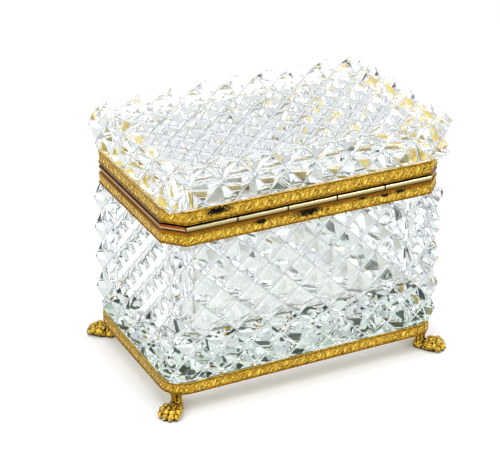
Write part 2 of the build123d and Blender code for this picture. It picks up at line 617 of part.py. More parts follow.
with BuildPart() as thumb_rivets:
    for x, z in THUMB_RIVETS:
        front_y = -FRAME_DEPTH / 2 - THUMB_THICKNESS
        with BuildSketch(Plane(origin=(x, front_y, z), x_dir=(0, 1, 0), z_dir=(1, 0, 0))):
            with BuildLine():
                TangentArc(
                    (-THUMB_RIVET_HEAD_HEIGHT, 0), (0, THUMB_RIVET_HEAD_RADIUS), tangent=(0, 1)
                )
                Polyline(
                    (0, THUMB_RIVET_HEAD_RADIUS),
                    (0, THUMB_RIVET_RADIUS),
                    (THUMB_THICKNESS + STRIP_BACK, THUMB_RIVET_RADIUS),
                    (THUMB_THICKNESS + STRIP_BACK, 0),
                    (-THUMB_RIVET_HEAD_HEIGHT, 0),
                )
            make_face()
        revolve(axis=Axis((x, front_y, z), (0, 1, 0)))
thumb_rivets.part.label = "thumb_rivets"
export_step(thumb_rivets.part, "parts/thumb_rivets.step")

# ---------------------------------------------------------------- hinge
LEAF_INNER_Y = HINGE_Y - LEAF_WIDTH
CUT_BACK_Y = HINGE_Y - KNUCKLE_RADIUS - KNUCKLE_CLEARANCE


def barrel_plane(x):
    """Plane across the hinge axis, its normal along it."""
    return Plane(origin=(x, HINGE_Y, HINGE_Z), x_dir=(0, 1, 0), z_dir=(1, 0, 0))


def hinge_leaf(own, other, plate_z, rivet_x, head_plane):
    """One leaf: a plate, its knuckles, room for the other leaf's knuckles, rivet holes."""
    with BuildSketch(Plane.XY.offset(plate_z)) as plate:
        with Locations((-HINGE_HALF, LEAF_INNER_Y)):
            Rectangle(2 * HINGE_HALF, LEAF_WIDTH, align=Align.MIN)
        for start in other:
            with Locations((start - KNUCKLE_GAP, CUT_BACK_Y)):
                Rectangle(
                    KNUCKLE_LENGTH + 2 * KNUCKLE_GAP,
                    LEAF_WIDTH,
                    align=Align.MIN,
                    mode=Mode.SUBTRACT,
                )
    extrude(plate.sketch, amount=LEAF_THICKNESS)
    for start in own:
        with BuildSketch(barrel_plane(start)) as knuckle:
            Circle(KNUCKLE_RADIUS)
        extrude(knuckle.sketch, amount=KNUCKLE_LENGTH)
    with BuildSketch(barrel_plane(-HINGE_HALF)) as bore:
        Circle(PIN_RADIUS + PIN_CLEARANCE)
    extrude(bore.sketch, amount=2 * HINGE_HALF, mode=Mode.SUBTRACT)
    with Locations(head_plane):
        with Locations(*rivet_x):
            CounterSinkHole(
                RIVET_RADIUS + RIVET_FIT, RIVET_HEAD_RADIUS + RIVET_FIT, depth=2 * LEAF_THICKNESS
            )


BODY_LEAF_TOP = BODY_FLANGE_TOP + LEAF_THICKNESS
LID_LEAF_Z = LID_FLANGE_Z - LEAF_THICKNESS

with BuildPart() as hinge_leaf_body:
    hinge_leaf(
        BODY_KNUCKLES,
        LID_KNUCKLES,
        BODY_FLANGE_TOP,
        [(x, LEAF_RIVET_Y) for x in BODY_RIVET_X],
        Plane.XY.offset(BODY_LEAF_TOP),
    )
hinge_leaf_body.part.label = "hinge_leaf_body"
export_step(hinge_leaf_body.part, "parts/hinge_leaf_body.step")

with BuildPart() as hinge_leaf_lid:
    hinge_leaf(
        LID_KNUCKLES,
        BODY_KNUCKLES,
        LID_LEAF_Z,
        [(x, -LEAF_RIVET_Y) for x in LID_RIVET_X],
        Plane(origin=(0, 0, LID_LEAF_Z), x_dir=(1, 0, 0), z_dir=(0, 0, -1)),
    )
hinge_leaf_lid.part.label = "hinge_leaf_lid"
export_step(hinge_leaf_lid.part, "parts/hinge_leaf_lid.step")

with BuildPart() as hinge_pin:
    with BuildSketch(barrel_plane(-HINGE_HALF)):
        Circle(PIN_RADIUS)
    extrude(amount=2 * HINGE_HALF)
    chamfer(hinge_pin.edges().filter_by(GeomType.CIRCLE), PIN_END_CHAMFER)
hinge_pin.part.label = "hinge_pin"
export_step(hinge_pin.part, "parts/hinge_pin.step")


def leaf_rivets(positions, head_z, tail_z):
    """Countersunk rivets through a leaf and its flange, flush at both ends."""
    way = 1 if tail_z > head_z else -1
    sink = RIVET_HEAD_RADIUS - RIVET_RADIUS
    for x in positions:
        upright = Plane(origin=(x, LEAF_RIVET_Y, 0), x_dir=(1, 0, 0), z_dir=(0, -1, 0))
        with BuildSketch(upright) as profile:
            with BuildLine():
                Polyline(
                    (0, head_z),
                    (RIVET_HEAD_RADIUS, head_z),
                    (RIVET_RADIUS, head_z + way * sink),
                    (RIVET_RADIUS, tail_z),
                    (0, tail_z),
                    close=True,
                )
            make_face()
        revolve(profile.sketch, axis=Axis((x, LEAF_RIVET_Y, 0), (0, 0, 1)))


with BuildPart() as hinge_rivets_body:
    leaf_rivets(BODY_RIVET_X, BODY_LEAF_TOP, BODY_FLANGE_Z)
hinge_rivets_body.part.label = "hinge_rivets_body"
export_step(hinge_rivets_body.part, "parts/hinge_rivets_body.step")

with BuildPart() as hinge_rivets_lid:
    leaf_rivets(LID_RIVET_X, LID_LEAF_Z, LID_FLANGE_TOP)
hinge_rivets_lid.part.label = "hinge_rivets_lid"
export_step(hinge_rivets_lid.part, "parts/hinge_rivets_lid.step")
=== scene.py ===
"""Cut-glass casket with gilt brass mounts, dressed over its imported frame."""

import logging
import math
from dataclasses import dataclass, field
from enum import Enum
from typing import Any, Sequence

import bmesh
import bpy
import numpy as np
from mathutils import Matrix, Vector, noise


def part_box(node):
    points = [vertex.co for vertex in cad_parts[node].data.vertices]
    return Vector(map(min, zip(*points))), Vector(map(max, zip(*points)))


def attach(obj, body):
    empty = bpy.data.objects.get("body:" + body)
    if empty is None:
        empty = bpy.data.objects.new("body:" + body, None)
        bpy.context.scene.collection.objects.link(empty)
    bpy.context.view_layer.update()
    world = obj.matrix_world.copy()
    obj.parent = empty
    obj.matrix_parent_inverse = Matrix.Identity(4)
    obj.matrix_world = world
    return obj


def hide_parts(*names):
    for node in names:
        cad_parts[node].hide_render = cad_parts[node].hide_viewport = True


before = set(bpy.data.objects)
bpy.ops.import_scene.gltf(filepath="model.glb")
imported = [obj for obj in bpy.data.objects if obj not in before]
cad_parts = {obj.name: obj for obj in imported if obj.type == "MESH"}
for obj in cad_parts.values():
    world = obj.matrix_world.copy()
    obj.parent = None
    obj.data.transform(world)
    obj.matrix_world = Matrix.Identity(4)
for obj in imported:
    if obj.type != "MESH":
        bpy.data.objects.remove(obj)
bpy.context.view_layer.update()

LOG = logging.getLogger("casket")
MM = 0.001

# sizes shared with the frame, in millimetres
FRAME_LENGTH = 150.0
FRAME_DEPTH = 91.3
COLLAR_CHAMFER = 9.2
BASE_CORNER_RADIUS = 12.0
BAND_RIM = 0.7
BAND_RELIEF = 0.3

Point2 = tuple[float, float]
Point3 = tuple[float, float, float]


# ------------------------------------------------------------------ small tools
def linear(hex_colour: str) -> tuple[float, float, float, float]:
    """Turns an sRGB hex colour into linear RGBA.

    Args:
        hex_colour: colour as "#RRGGBB".

    Returns:
        Linear red, green, blue and an alpha of one.
    """
    values = [int(hex_colour[i : i + 2], 16) / 255 for i in (1, 3, 5)]
    red, green, blue = (
        v / 12.92 if v <= 0.04045 else ((v + 0.055) / 1.055) ** 2.4 for v in values
    )
    return (red, green, blue, 1.0)


def add_node(tree: bpy.types.NodeTree, kind: str, inputs: dict[Any, Any] | None = None, **settings: Any) -> Any:
    """Adds a node, sets its properties, and fills or links its inputs.

    Args:
        tree: node tree that takes the node.
        kind: Blender's name of the node type.
        inputs: input name or index to a value, or to the socket that feeds it.
        **settings: properties of the node.

    Returns:
        The new node.
    """
    node = tree.nodes.new(kind)
    for key, value in settings.items():
        setattr(node, key, value)
    for key, value in (inputs or {}).items():
        if isinstance(value, bpy.types.NodeSocket):
            tree.links.new(value, node.inputs[key])
        else:
            node.inputs[key].default_value = value
    return node


def new_material(name: str) -> tuple[bpy.types.Material, bpy.types.NodeTree]:
    """Makes an empty node material and returns it with its tree."""
    material = bpy.data.materials.new(name)
    material.use_nodes = True
    material.node_tree.nodes.clear()
    return material, material.node_tree


def per_mm(size: float) -> float:
    """Texture scale that gives features of a size in millimetres."""
    return 1.0 / (size * MM)


def link(obj: bpy.types.Object) -> bpy.types.Object:
    """Puts an object into the scene and returns it."""
    bpy.context.scene.collection.objects.link(obj)
    return obj


def baked(obj: bpy.types.Object, name: str) -> bpy.types.Object:
    """Turns an object with modifiers into a plain mesh object.

    Args:
        obj: object to evaluate; it is removed.
        name: name of the new object.

    Returns:
        The new mesh object, in the scene.
    """
    graph = bpy.context.evaluated_depsgraph_get()
    mesh = bpy.data.meshes.new_from_object(obj.evaluated_get(graph), depsgraph=graph)
    data = obj.data
    bpy.data.objects.remove(obj)
    if isinstance(data, bpy.types.Mesh):
        bpy.data.meshes.remove(data)
    else:
        bpy.data.curves.remove(data)
    mesh.name = name
    return link(bpy.data.objects.new(name, mesh))


def dress(obj: bpy.types.Object, material: bpy.types.Material, smooth: bool | None = None) -> None:
    """Gives an object one material, and sets its shading if asked."""
    obj.data.materials.clear()
    obj.data.materials.append(material)
    if smooth is not None:
        obj.data.polygons.foreach_set("use_smooth", [smooth] * len(obj.data.polygons))
        obj.data.update()


# ------------------------------------------------------------------ finishes
@dataclass(frozen=True)
class LeadCrystal:
    """Cast lead crystal, wheel cut and acid polished.

    Clear and bright with sharp facets, and faintly green where it is thick, as in the base. The
    wheel leaves the facets very slightly wavy. Light falls through it onto what lies behind.
    """

    name: str = "lead_crystal_cut_polished"
    clear: str = "#FDFEFE"
    thick: str = "#DEEDE6"
    shade: str = "#FDFCFC"
    ior: float = 1.54
    roughness: float = 0.0
    transmission: float = 1.0
    # heights between which the green of the thick base fades out
    thick_below_mm: float = 18.0
    clear_above_mm: float = 38.0
    wave_mm: float = 7.0
    wave_strength: float = 0.12

    def material(self) -> bpy.types.Material:
        """Builds the material."""
        material, tree = new_material(self.name)
        place = add_node(tree, "ShaderNodeTexCoord").outputs["Object"]
        height = add_node(tree, "ShaderNodeSeparateXYZ", {"Vector": place}).outputs["Z"]
        fade = add_node(
            tree,
            "ShaderNodeMapRange",
            {
                "Value": height,
                "From Min": self.thick_below_mm * MM,
                "From Max": self.clear_above_mm * MM,
            },
        )
        tint = add_node(
            tree,
            "ShaderNodeMix",
            {0: fade.outputs["Result"], 6: linear(self.thick), 7: linear(self.clear)},
            data_type="RGBA",
        )
        wave = add_node(
            tree,
            "ShaderNodeTexNoise",
            {"Vector": place, "Scale": per_mm(self.wave_mm), "Detail": 1.0},
        )
        bump = add_node(
            tree,
            "ShaderNodeBump",
            {"Height": wave.outputs["Fac"], "Strength": self.wave_strength, "Distance": 0.2 * MM},
        )
        shader = add_node(
            tree,
            "ShaderNodeBsdfPrincipled",
            {
                "Base Color": tint.outputs[2],
                "Roughness": self.roughness,
                "IOR": self.ior,
                "Transmission Weight": self.transmission,
                "Normal": bump.outputs["Normal"],
            },
        )
        ray = add_node(tree, "ShaderNodeLightPath").outputs
        lighting = add_node(
            tree,
            "ShaderNodeMath",
            {0: ray["Is Shadow Ray"], 1: ray["Is Diffuse Ray"]},
            operation="MAXIMUM",
        )
        passed = add_node(tree, "ShaderNodeBsdfTransparent", {"Color": linear(self.shade)})
        glass = add_node(
            tree,
            "ShaderNodeMixShader",
            {0: lighting.outputs[0], 1: shader.outputs["BSDF"], 2: passed.outputs["BSDF"]},
        )
        add_node(tree, "ShaderNodeOutputMaterial", {"Surface": glass.outputs["Shader"]})
        return material


class Surface(Enum):
    """How a piece of brass was worked."""

    PLAIN = "plain"
    GRANULATED = "granulated"
    CHASED = "chased"


@dataclass(frozen=True)
class GiltBrass:
    """Stamped or cast brass, fire gilt, with old brown tarnish.

    Bright yellow gold on the high places and brown in the low ones: the brown is tarnish deepened
    with painted shade in the hollows, and the gold on the crests is painted light. Soft patches of
    purple-brown show where the gilding has thinned, and near-black spots where it has gone. The real
    punch marks are finer than the grain here, which is drawn as coarse as it needs to show.
    """

    name: str
    surface: Surface
    # bright is the crests' colour, painted light; low is brown tarnish darkened by painted shade for the hollows
    bright: str = "#F6D368"
    low: str = "#4A2B0A"
    tarnish: str = "#5B3F3A"
    bare: str = "#17100F"
    tarnish_amount: float = 0.25
    roughness: float = 0.26
    patch_mm: float = 9.0
    grain_mm: float = 0.45
    grain_depth_mm: float = 0.10
    # heights of a strip's sunk field; the rims outside it are burnished
    field_mm: tuple[float, float] | None = None
    # share of the colour that small stains take away, and their size
    mottle: float = 0.0
    mottle_mm: float = 1.4
    # bare spots: x, y, z and half length in millimetres; a spot is a third as high as it is long
    spots: tuple[tuple[float, float, float, float], ...] = ()

    def material(self) -> bpy.types.Material:
        """Builds the material."""
        material, tree = new_material(self.name)
        place = add_node(tree, "ShaderNodeTexCoord").outputs["Object"]
        patches = add_node(
            tree,
            "ShaderNodeTexNoise",
            {"Vector": place, "Scale": per_mm(self.patch_mm), "Detail": 4.0, "Roughness": 0.6},
        )
        grain = add_node(
            tree, "ShaderNodeTexVoronoi", {"Vector": place, "Scale": per_mm(self.grain_mm)}
        )
        height = self._height(tree, grain)
        stains = add_node(
            tree,
            "ShaderNodeTexNoise",
            {"Vector": place, "Scale": per_mm(self.mottle_mm), "Detail": 3.0, "Roughness": 0.7},
        ).outputs["Fac"]
        kept = add_node(
            tree,
            "ShaderNodeMapRange",
            {"Value": stains, "From Min": 0.35, "From Max": 0.6, "To Min": 1.0 - self.mottle},
        )
        # painted shade and light from the height, times the small stains
        lit_and_clean = add_node(
            tree, "ShaderNodeMath", {0: height, 1: kept.outputs["Result"]}, operation="MULTIPLY"
        )
        colour = add_node(
            tree,
            "ShaderNodeMix",
            {0: lit_and_clean.outputs[0], 6: linear(self.low), 7: linear(self.bright)},
            data_type="RGBA",
        )
        mask = add_node(
            tree,
            "ShaderNodeMapRange",
            {"Value": patches.outputs["Fac"], "From Min": 0.52, "From Max": 0.72, "To Max": self.tarnish_amount},
        )
        aged = add_node(
            tree,
            "ShaderNodeMix",
            {0: mask.outputs["Result"], 6: colour.outputs[2], 7: linear(self.tarnish)},
            data_type="RGBA",
        )
        rough = add_node(
            tree,
            "ShaderNodeMapRange",
            {
                "Value": patches.outputs["Fac"],
                "From Min": 0.3,
                "From Max": 0.75,
                "To Min": self.roughness,
                "To Max": self.roughness + 0.22,
            },
        )
        bump = add_node(
            tree,
            "ShaderNodeBump",
            {"Height": grain.outputs["Distance"], "Strength": self._bump(), "Distance": self.grain_depth_mm * MM},
        )
        worn = add_node(
            tree,
            "ShaderNodeMix",
            {0: self._bare_mask(tree, place, stains), 6: aged.outputs[2], 7: linear(self.bare)},
            data_type="RGBA",
        )
        shader = add_node(
            tree,
            "ShaderNodeBsdfPrincipled",
            {
                "Base Color": worn.outputs[2],
                "Metallic": 1.0,
                "Roughness": rough.outputs["Result"],
                "Normal": bump.outputs["Normal"],
            },
        )
        add_node(tree, "ShaderNodeOutputMaterial", {"Surface": shader.outputs["BSDF"]})
        return material

    def _bare_mask(self, tree: bpy.types.NodeTree, place: Any, stains: Any) -> Any:
        """Socket that is 1 inside the ragged bare spots and 0 elsewhere.

        Args:
            tree: material's node tree.
            place: socket with the object's coordinates.
            stains: noise socket that makes the spots ragged.

        Returns:
            The output socket, or plain 0 where there are no spots.
        """
        mask: Any = 0.0
        for x, y, z, reach in self.spots:
            offset = add_node(
                tree,
                "ShaderNodeVectorMath",
                {0: place, 1: (x * MM, y * MM, z * MM)},
                operation="SUBTRACT",
            )
            squashed = add_node(
                tree,
                "ShaderNodeVectorMath",
                {0: offset.outputs["Vector"], 1: (1.0, 1.0, 3.0)},
                operation="MULTIPLY",
            )
            gap = add_node(
                tree, "ShaderNodeVectorMath", {0: squashed.outputs["Vector"]}, operation="LENGTH"
            )
            ragged = add_node(
                tree,
                "ShaderNodeMath",
                {0: stains, 1: 1.8 * reach * MM, 2: gap.outputs["Value"]},
                operation="MULTIPLY_ADD",
            )
            near = add_node(
                tree,
                "ShaderNodeMapRange",
                {
                    "Value": ragged.outputs[0],
                    "From Min": 1.75 * reach * MM,
                    "From Max": 1.35 * reach * MM,
                },
            ).outputs["Result"]
            mask = add_node(tree, "ShaderNodeMath", {0: mask, 1: near}, operation="MAXIMUM").outputs[0]
        return mask

    def _bump(self) -> float:
        """Strength of the surface grain."""
        return {Surface.PLAIN: 0.12, Surface.GRANULATED: 1.0, Surface.CHASED: 0.6}[self.surface]

    def _height(self, tree: bpy.types.NodeTree, grain: Any) -> Any:
        """Socket that runs from 0 in the low places to 1 on the high ones: painted shade in the hollows, painted
        light on the crests.

        Args:
            tree: material's node tree.
            grain: node of the surface grain.

        Returns:
            The output socket.
        """
        if self.surface is Surface.CHASED:
            # the relief's rise paints shade into its hollows and light on its crests
            rise = add_node(tree, "ShaderNodeAttribute", attribute_name="rise")
            return add_node(
                tree,
                "ShaderNodeMapRange",
                {"Value": rise.outputs["Fac"], "From Min": 0.0, "From Max": 0.75},
            ).outputs["Result"]
        low, high = (0.0, 0.75) if self.surface is Surface.GRANULATED else (-0.9, 0.5)
        mottled = add_node(
            tree,
            "ShaderNodeMapRange",
            {"Value": grain.outputs["Distance"], "From Min": low, "From Max": high},
        ).outputs["Result"]
        if self.field_mm is None:
            return mottled
        place = add_node(tree, "ShaderNodeTexCoord").outputs["Object"]
        z = add_node(tree, "ShaderNodeSeparateXYZ", {"Vector": place}).outputs["Z"]
        middle = sum(self.field_mm) / 2 * MM
        half = (self.field_mm[1] - self.field_mm[0]) / 2 * MM
        offset = add_node(tree, "ShaderNodeMath", {0: z, 1: middle}, operation="SUBTRACT")
        away = add_node(tree, "ShaderNodeMath", {0: offset.outputs[0]}, operation="ABSOLUTE").outputs[0]
        # painted shade along the inner edge of each rim, where the field sinks below it
        lit_and_clean = add_node(
            tree,
            "ShaderNodeMapRange",
            {"Value": away, "From Min": half - 0.15 * MM, "From Max": half - 0.55 * MM},
        ).outputs["Result"]
        field_tone = add_node(tree, "ShaderNodeMath", {0: mottled, 1: lit_and_clean}, operation="MULTIPLY")
        rim = add_node(
            tree,
            "ShaderNodeMapRange",
            {"Value": away, "From Min": half, "From Max": half + 0.12 * MM},
        ).outputs["Result"]
        return add_node(
            tree, "ShaderNodeMath", {0: field_tone.outputs[0], 1: rim}, operation="MAXIMUM"
        ).outputs[0]


@dataclass(frozen=True)
class PaintedLightRod:
    """Drawn brass rod, gilt and polished for years.

    Its colour runs with height as painted light: near black above, painted shade in the gap under
    the lid; a pale painted highlight along its upper side; olive brown painted reflection below,
    with a thin painted shade line near its foot. The joints between knuckles show as black rings.
    Flat faces take one plain colour in place of the painted highlight and shade.
    """

    name: str = "gilt_brass_rod_painted_light"
    bottom_mm: float = 96.25
    top_mm: float = 99.95
    # share of the rod's height to its colour: painted shade, painted highlight and painted reflection
    shades: tuple[tuple[float, str], ...] = (
        (0.0, "#8C7448"),
        (0.04, "#5C4A38"),
        (0.055, "#140B07"),
        (0.11, "#1A100A"),
        (0.15, "#5E4E3C"),
        (0.22, "#7C6C52"),
        (0.46, "#A08C5C"),
        (0.58, "#C9B56B"),
        (0.66, "#FFFBE2"),
        (0.73, "#FFF6C0"),
        (0.78, "#5A3A14"),
        (0.83, "#120A07"),
        (1.0, "#0A0605"),
    )
    # places of the joints along X, either side of the middle
    joints_mm: tuple[float, ...] = ()
    joint_half_mm: float = 0.42
    # one colour for flat faces in place of the ramp; on the body collar a bright one, painted light on the flange
    # that the barrel shades
    lit_and_clean: str = "#D2AE58"
    # upright share of the normal from which a face counts as flat
    flat_from: float = 0.965
    roughness: float = 0.22
    streak_mm: float = 7.0
    streak: float = 0.10

    def material(self) -> bpy.types.Material:
        """Builds the material."""
        material, tree = new_material(self.name)
        place = add_node(tree, "ShaderNodeTexCoord").outputs["Object"]
        axes = add_node(tree, "ShaderNodeSeparateXYZ", {"Vector": place}).outputs
        stains = add_node(
            tree, "ShaderNodeTexNoise", {"Vector": place, "Scale": per_mm(self.streak_mm), "Detail": 4.0}
        )
        share = add_node(
            tree,
            "ShaderNodeMapRange",
            {"Value": axes["Z"], "From Min": self.bottom_mm * MM, "From Max": self.top_mm * MM},
        )
        wavering = add_node(
            tree,
            "ShaderNodeMath",
            {0: stains.outputs["Fac"], 1: self.streak, 2: share.outputs["Result"]},
            operation="MULTIPLY_ADD",
        )
        level = add_node(
            tree, "ShaderNodeMath", {0: wavering.outputs[0], 1: 0.5 * self.streak}, operation="SUBTRACT"
        )
        ramp = add_node(tree, "ShaderNodeValToRGB", {"Fac": level.outputs[0]})
        elements = ramp.color_ramp.elements
        for index, (where, shade) in enumerate(self.shades):
            element = elements[index] if index < 2 else elements.new(where)
            element.position = where
            element.color = linear(shade)
        normal = add_node(tree, "ShaderNodeTexCoord").outputs["Normal"]
        upright = add_node(tree, "ShaderNodeSeparateXYZ", {"Vector": normal}).outputs["Z"]
        level_share = add_node(tree, "ShaderNodeMath", {0: upright}, operation="ABSOLUTE")
        flat = add_node(
            tree,
            "ShaderNodeMapRange",
            {
                "Value": level_share.outputs[0],
                "From Min": self.flat_from,
                "From Max": self.flat_from + 0.03,
            },
        )
        colour = add_node(
            tree,
            "ShaderNodeMix",
            {0: flat.outputs["Result"], 6: ramp.outputs["Color"], 7: linear(self.lit_and_clean)},
            data_type="RGBA",
        ).outputs[2]
        along = add_node(tree, "ShaderNodeMath", {0: axes["X"]}, operation="ABSOLUTE").outputs[0]
        for joint in self.joints_mm:
            ring = add_node(
                tree,
                "ShaderNodeMath",
                {0: along, 1: joint * MM, 2: self.joint_half_mm * MM},
                operation="COMPARE",
            )
            colour = add_node(
                tree,
                "ShaderNodeMix",
                {0: ring.outputs[0], 6: colour, 7: linear(self.shades[-1][1])},
                data_type="RGBA",
            ).outputs[2]
        shader = add_node(
            tree,
            "ShaderNodeBsdfPrincipled",
            {"Base Color": colour, "Metallic": 1.0, "Roughness": self.roughness},
        )
        add_node(tree, "ShaderNodeOutputMaterial", {"Surface": shader.outputs["BSDF"]})
        return material


@dataclass(frozen=True)
class Plaster:
    """Plaster bedding, matt and slightly gritty, stained where the gilding has bled into it."""

    name: str = "plaster_bedding_white"
    pale: str = "#EDF1EC"
    stained: str = "#C9CDBB"
    stain_mm: float = 6.0
    stain_detail: float = 5.0
    # half width of the step from pale to stained, as a share of the noise
    softness: float = 0.5
    # tone at the short ends, where gilding has soaked in, and where along X it begins
    ends: str = ""
    ends_from_mm: float = 60.0

    def material(self) -> bpy.types.Material:
        """Builds the material."""
        material, tree = new_material(self.name)
        place = add_node(tree, "ShaderNodeTexCoord").outputs["Object"]
        stain = add_node(
            tree, "ShaderNodeTexNoise", {"Vector": place, "Scale": per_mm(self.stain_mm), "Detail": self.stain_detail}
        )
        step = add_node(
            tree,
            "ShaderNodeMapRange",
            {
                "Value": stain.outputs["Fac"],
                "From Min": 0.5 - self.softness,
                "From Max": 0.5 + self.softness,
            },
        )
        colour = add_node(
            tree,
            "ShaderNodeMix",
            {0: step.outputs["Result"], 6: linear(self.pale), 7: linear(self.stained)},
            data_type="RGBA",
        )
        if self.ends:
            x = add_node(tree, "ShaderNodeSeparateXYZ", {"Vector": place}).outputs["X"]
            out = add_node(tree, "ShaderNodeMath", {0: x}, operation="ABSOLUTE")
            near_end = add_node(
                tree,
                "ShaderNodeMapRange",
                {
                    "Value": out.outputs[0],
                    "From Min": self.ends_from_mm * MM,
                    "From Max": (self.ends_from_mm + 6.0) * MM,
                },
            )
            golden = add_node(
                tree,
                "ShaderNodeMath",
                {0: near_end.outputs["Result"], 1: step.outputs["Result"]},
                operation="MULTIPLY",
            )
            colour = add_node(
                tree,
                "ShaderNodeMix",
                {0: golden.outputs[0], 6: colour.outputs[2], 7: linear(self.ends)},
                data_type="RGBA",
            )
        shader = add_node(
            tree,
            "ShaderNodeBsdfPrincipled",
            {"Base Color": colour.outputs[2], "Roughness": 0.9},
        )
        add_node(tree, "ShaderNodeOutputMaterial", {"Surface": shader.outputs["BSDF"]})
        return material


@dataclass(frozen=True)
class StudioPaper:
    """Matt white background paper."""

    name: str = "studio_paper"
    white: str = "#E5E5E4"

    def material(self) -> bpy.types.Material:
        """Builds the material."""
        material, tree = new_material(self.name)
        shader = add_node(
            tree, "ShaderNodeBsdfPrincipled", {"Base Color": linear(self.white), "Roughness": 1.0}
        )
        shader.inputs["Specular IOR Level"].default_value = 0.0
        add_node(tree, "ShaderNodeOutputMaterial", {"Surface": shader.outputs["BSDF"]})
        return material


# ------------------------------------------------------------------ outlines of the mounts
def collar_sides(inset: float) -> list[list[Point2]]:
    """Eight straight sides of the collars' outline, counter-clockwise from above.

    Args:
        inset: distance inside the bands' faces, in millimetres.

    Returns:
        One list of points for each side.
    """
    half_x = FRAME_LENGTH / 2 - inset
    half_y = FRAME_DEPTH / 2 - inset
    leg = COLLAR_CHAMFER - inset * (2 - math.sqrt(2))
    points = [
        (leg - half_x, -half_y),
        (half_x - leg, -half_y),
        (half_x, leg - half_y),
        (half_x, half_y - leg),
        (half_x - leg, half_y),
        (leg - half_x, half_y),
        (-half_x, half_y - leg),
        (-half_x, leg - half_y),
    ]
    return [[a, b] for a, b in zip(points, points[1:] + points[:1])]


def base_sides(inset: float) -> list[list[Point2]]:
    """Straight sides and round corners of the base frame, counter-clockwise from above.

    Args:
        inset: distance inside the base band's face, in millimetres.

    Returns:
        One list of points for each side and each corner.
    """
    half_x = FRAME_LENGTH / 2 - inset
    half_y = FRAME_DEPTH / 2 - inset
    radius = BASE_CORNER_RADIUS - inset
    steps = 16
    sides: list[list[Point2]] = []
    centres = [(1, -1, -90), (1, 1, 0), (-1, 1, 90), (-1, -1, 180)]
    arcs = []
    for sx, sy, start in centres:
        cx, cy = sx * (half_x - radius), sy * (half_y - radius)
        turns = [math.radians(start + 90 * i / steps) for i in range(steps + 1)]
        arcs.append([(cx + radius * math.cos(t), cy + radius * math.sin(t)) for t in turns])
    for before, after in zip(arcs[-1:] + arcs[:-1], arcs):
        sides.append([before[-1], after[0]])
        sides.append(after)
    return sides


def path_object(sides: Sequence[Sequence[Point2]], height: float) -> bpy.types.Object:
    """Makes a curve object with one open spline for each side.

    Args:
        sides: points of each side, in millimetres.
        height: height of the path above the table, in millimetres.

    Returns:
        The curve object, in the scene.
    """
    curve = bpy.data.curves.new("path", "CURVE")
    curve.dimensions = "3D"
    for side in sides:
        spline = curve.splines.new("POLY")
        spline.points.add(len(side) - 1)
        for point, (x, y) in zip(spline.points, side):
            point.co = (x * MM, y * MM, height * MM, 1.0)
    return link(bpy.data.objects.new("path", curve))


# ------------------------------------------------------------------ embossed ornament
@dataclass
class Relief:
    """Mesh of one repeat of an ornament, drawn facing -Y with +X along the band."""

    sink: float = 0.08
    mesh: bmesh.types.BMesh = field(default_factory=bmesh.new)

    def petal(self, base: Point2, tip: Point2, width: float, height: float, droop: float = 0.5) -> None:
        """Adds a leaf lobe: a long dome, widest near its base.

        Args:
            base: where the lobe starts, along and up the band, in millimetres.
            tip: where it ends.
            width: its greatest width.
            height: its rise above the field.
            droop: where its crest lies, from 0 at the base to 1 at the tip.
        """
        bm = self.mesh
        start, end = Vector(base), Vector(tip)
        run = end - start
        side = Vector((-run.y, run.x)).normalized()
        segments, rings = 6, 1
        middle = start + run * droop
        loops = []
        for ring in range(rings + 1):
            rise = math.sin(ring / (rings + 1) * math.pi / 2)
            spread = math.cos(ring / (rings + 1) * math.pi / 2)
            loop = []
            for i in range(segments):
                turn = 2 * math.pi * i / segments
                along = (math.cos(turn) + 1) / 2
                across = math.sin(turn) * width / 2 * (1.25 - 0.6 * along)
                spot = start + run * along + side * across
                spot = middle + (spot - middle) * spread
                loop.append(bm.verts.new((spot.x, self.sink - (height + self.sink) * rise, spot.y)))
            loops.append(loop)
        top = bm.verts.new((middle.x, -height, middle.y))
        for lower, upper in zip(loops, loops[1:]):
            for i in range(segments):
                j = (i + 1) % segments
                bm.faces.new((lower[i], lower[j], upper[j], upper[i]))
        for i in range(segments):
            bm.faces.new((loops[-1][i], loops[-1][(i + 1) % segments], top))

    def stem(self, points: Sequence[Point2], width: float, height: float) -> None:
        """Adds a half-round stem along a line of points."""
        bm = self.mesh
        rows = []
        for i, point in enumerate(points):
            before = Vector(points[max(i - 1, 0)])
            after = Vector(points[min(i + 1, len(points) - 1)])
            side = (after - before).normalized()
            side = Vector((-side.y, side.x)) * width / 2
            here = Vector(point)
            row = []
            for across, rise in ((-1.0, -self.sink), (-0.6, 0.75 * height), (0.6, 0.75 * height), (1.0, -self.sink)):
                spot = here + side * across
                row.append(bm.verts.new((spot.x, -rise, spot.y)))
            crest = bm.verts.new((here.x, -height, here.y))
            rows.append((row[0], row[1], crest, row[2], row[3]))
        for a, b in zip(rows, rows[1:]):
            for k in range(4):
                bm.faces.new((a[k], b[k], b[k + 1], a[k + 1]))

    def finish(self, name: str) -> bpy.types.Object:
        """Turns the drawing into an object in metres with a "rise" attribute.

        Args:
            name: name of the object.

        Returns:
            The motif object, in the scene.
        """
        bm = self.mesh
        bmesh.ops.recalc_face_normals(bm, faces=bm.faces)
        if sum(f.normal.y * f.calc_area() for f in bm.faces) > 0:
            bmesh.ops.reverse_faces(bm, faces=bm.faces)
        mesh = bpy.data.meshes.new(name)
        bm.to_mesh(mesh)
        bm.free()
        rise = mesh.attributes.new("rise", "FLOAT", "POINT")
        peak = max(-v.co.y for v in mesh.vertices)
        rise.data.foreach_set("value", [max(-v.co.y, 0.0) / peak for v in mesh.vertices])
        mesh.transform(Matrix.Scale(MM, 4))
        return link(bpy.data.objects.new(name, mesh))


